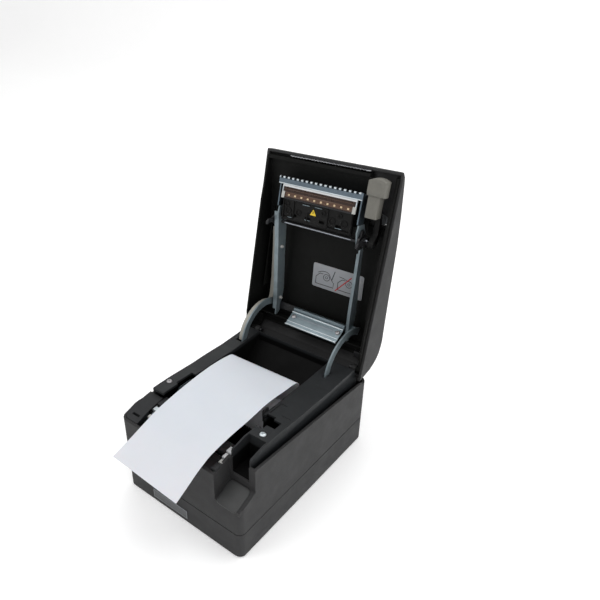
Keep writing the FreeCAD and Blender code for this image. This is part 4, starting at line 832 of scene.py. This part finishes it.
# ------------------------------------------------------------------ stage
floor_me = bpy.data.meshes.new("floor")
bm = bmesh.new()
pts = [(-2.5, -0.75), (2.5, -0.75)]
prof = [(-3.0, 0.0), (1.1, 0.0)]
for i in range(1, 13):
    a = math.radians(90 * i / 12)
    prof.append((1.1 + 0.6 * math.sin(a), 0.6 * (1 - math.cos(a))))
prof.append((1.7, 3.0))
prev = None
for y, z in prof:
    cur = [bm.verts.new((x, y, z)) for x in (-4, 4)]
    if prev:
        bm.faces.new((prev[0], prev[1], cur[1], cur[0]))
    prev = cur
bm.to_mesh(floor_me)
floor = bpy.data.objects.new("floor", floor_me)
bpy.context.scene.collection.objects.link(floor)
for p in floor_me.polygons:
    p.use_smooth = True
fm = Mat("floor_paper")
fm.link(fm.ramp(fm.noise(3, 3), [(0.3, (0.93, 0.93, 0.93)), (0.7, (0.95, 0.95, 0.95))]), fm.b.inputs["Base Color"])
fm.b.inputs["Roughness"].default_value = 0.85
fm.b.inputs["Emission Color"].default_value = (1.0, 1.0, 1.0, 1)
fm.b.inputs["Emission Strength"].default_value = 0.22
fm.link(fm.bump(fm.noise(900, 3), 0.1, 0.0002), fm.b.inputs["Normal"])
floor_me.materials.append(fm.m)

world = bpy.data.worlds.new("studio")
bpy.context.scene.world = world
world.use_nodes = True
world.node_tree.nodes["Background"].inputs["Color"].default_value = (1.0, 1.0, 1.0, 1)
world.node_tree.nodes["Background"].inputs["Strength"].default_value = 0.58
wn, wl = world.node_tree.nodes, world.node_tree.links
seen = wn.new("ShaderNodeBackground")
seen.inputs["Color"].default_value = (1.0, 1.0, 1.0, 1)
seen.inputs["Strength"].default_value = 1.0
ray = wn.new("ShaderNodeLightPath")
wmix = wn.new("ShaderNodeMixShader")
wl.new(ray.outputs["Is Camera Ray"], wmix.inputs[0])
wl.new(wn["Background"].outputs[0], wmix.inputs[1])
wl.new(seen.outputs[0], wmix.inputs[2])
wl.new(wmix.outputs[0], next(n for n in wn if n.type == "OUTPUT_WORLD").inputs["Surface"])


def area(name, loc, target, size, power, col=(1, 1, 1)):
    d = bpy.data.lights.new(name, "AREA")
    d.shape = "RECTANGLE"
    d.size, d.size_y = size
    d.energy = power
    d.color = col
    o = bpy.data.objects.new(name, d)
    bpy.context.scene.collection.objects.link(o)
    o.location = loc
    o.rotation_mode = "QUATERNION"
    o.rotation_quaternion = (Vector(target) - Vector(loc)).to_track_quat("-Z", "Y")
    return o


area("key", (-0.7, -0.9, 1.5), (0, 0, 0.1), (1.0, 1.0), 8.2)
area("fill", (1.4, -0.5, 0.8), (0, 0, 0.1), (1.0, 1.0), 5.2, (0.99, 0.99, 1.0))
area("top", (0.2, 0.4, 1.8), (0, 0, 0.1), (1.4, 1.2), 9.6)

# ------------------------------------------------------------------ camera
az, el, roll, dist, tx, ty, f, cx, cy = (48.86040576, 31.79420178, -6.6564113, 658.96705647, -104.93284641,
                                         110.67681661, 640.87575097, 141.33794893, 312.08460265)
a, e, r = math.radians(az), math.radians(el), math.radians(roll)
back = Vector((math.sin(a) * math.cos(e), -math.cos(a) * math.cos(e), math.sin(e)))
right = Vector((math.cos(a), math.sin(a), 0))
up = back.cross(right)
r2 = math.cos(r) * right + math.sin(r) * up
u2 = -math.sin(r) * right + math.cos(r) * up
C = Vector((0, 100 - 106.5, 60)) + tx * r2 + ty * u2 + dist * back
cam_data = bpy.data.cameras.new("camera")
cam = bpy.data.objects.new("camera", cam_data)
bpy.context.scene.collection.objects.link(cam)
cam.matrix_world = Matrix(((r2.x, u2.x, back.x, C.x / 1000), (r2.y, u2.y, back.y, C.y / 1000),
                           (r2.z, u2.z, back.z, C.z / 1000), (0, 0, 0, 1)))
cam_data.sensor_width = 36
cam_data.lens = f * 36 / 600
cam_data.clip_start, cam_data.clip_end = 0.01, 50
# the lens is shifted only while the camera stands at its own place
for prop, val in (("shift_x", (300 - cx) / 600), ("shift_y", (cy - 300) / 600)):
    dr = cam_data.driver_add(prop).driver
    dr.type = "SCRIPTED"
    var = dr.variables.new()
    var.name = "px"
    var.type = "SINGLE_PROP"
    var.targets[0].id_type = "OBJECT"
    var.targets[0].id = cam
    var.targets[0].data_path = "location[0]"
    dr.expression = "%.6f if abs(px - %.6f) < 0.0005 else 0.0" % (val, C.x / 1000)
bpy.context.scene.camera = cam
bpy.context.scene.view_settings.view_transform = "Standard"

# ------------------------------------------------------------------ update
bpy.context.view_layer.update()
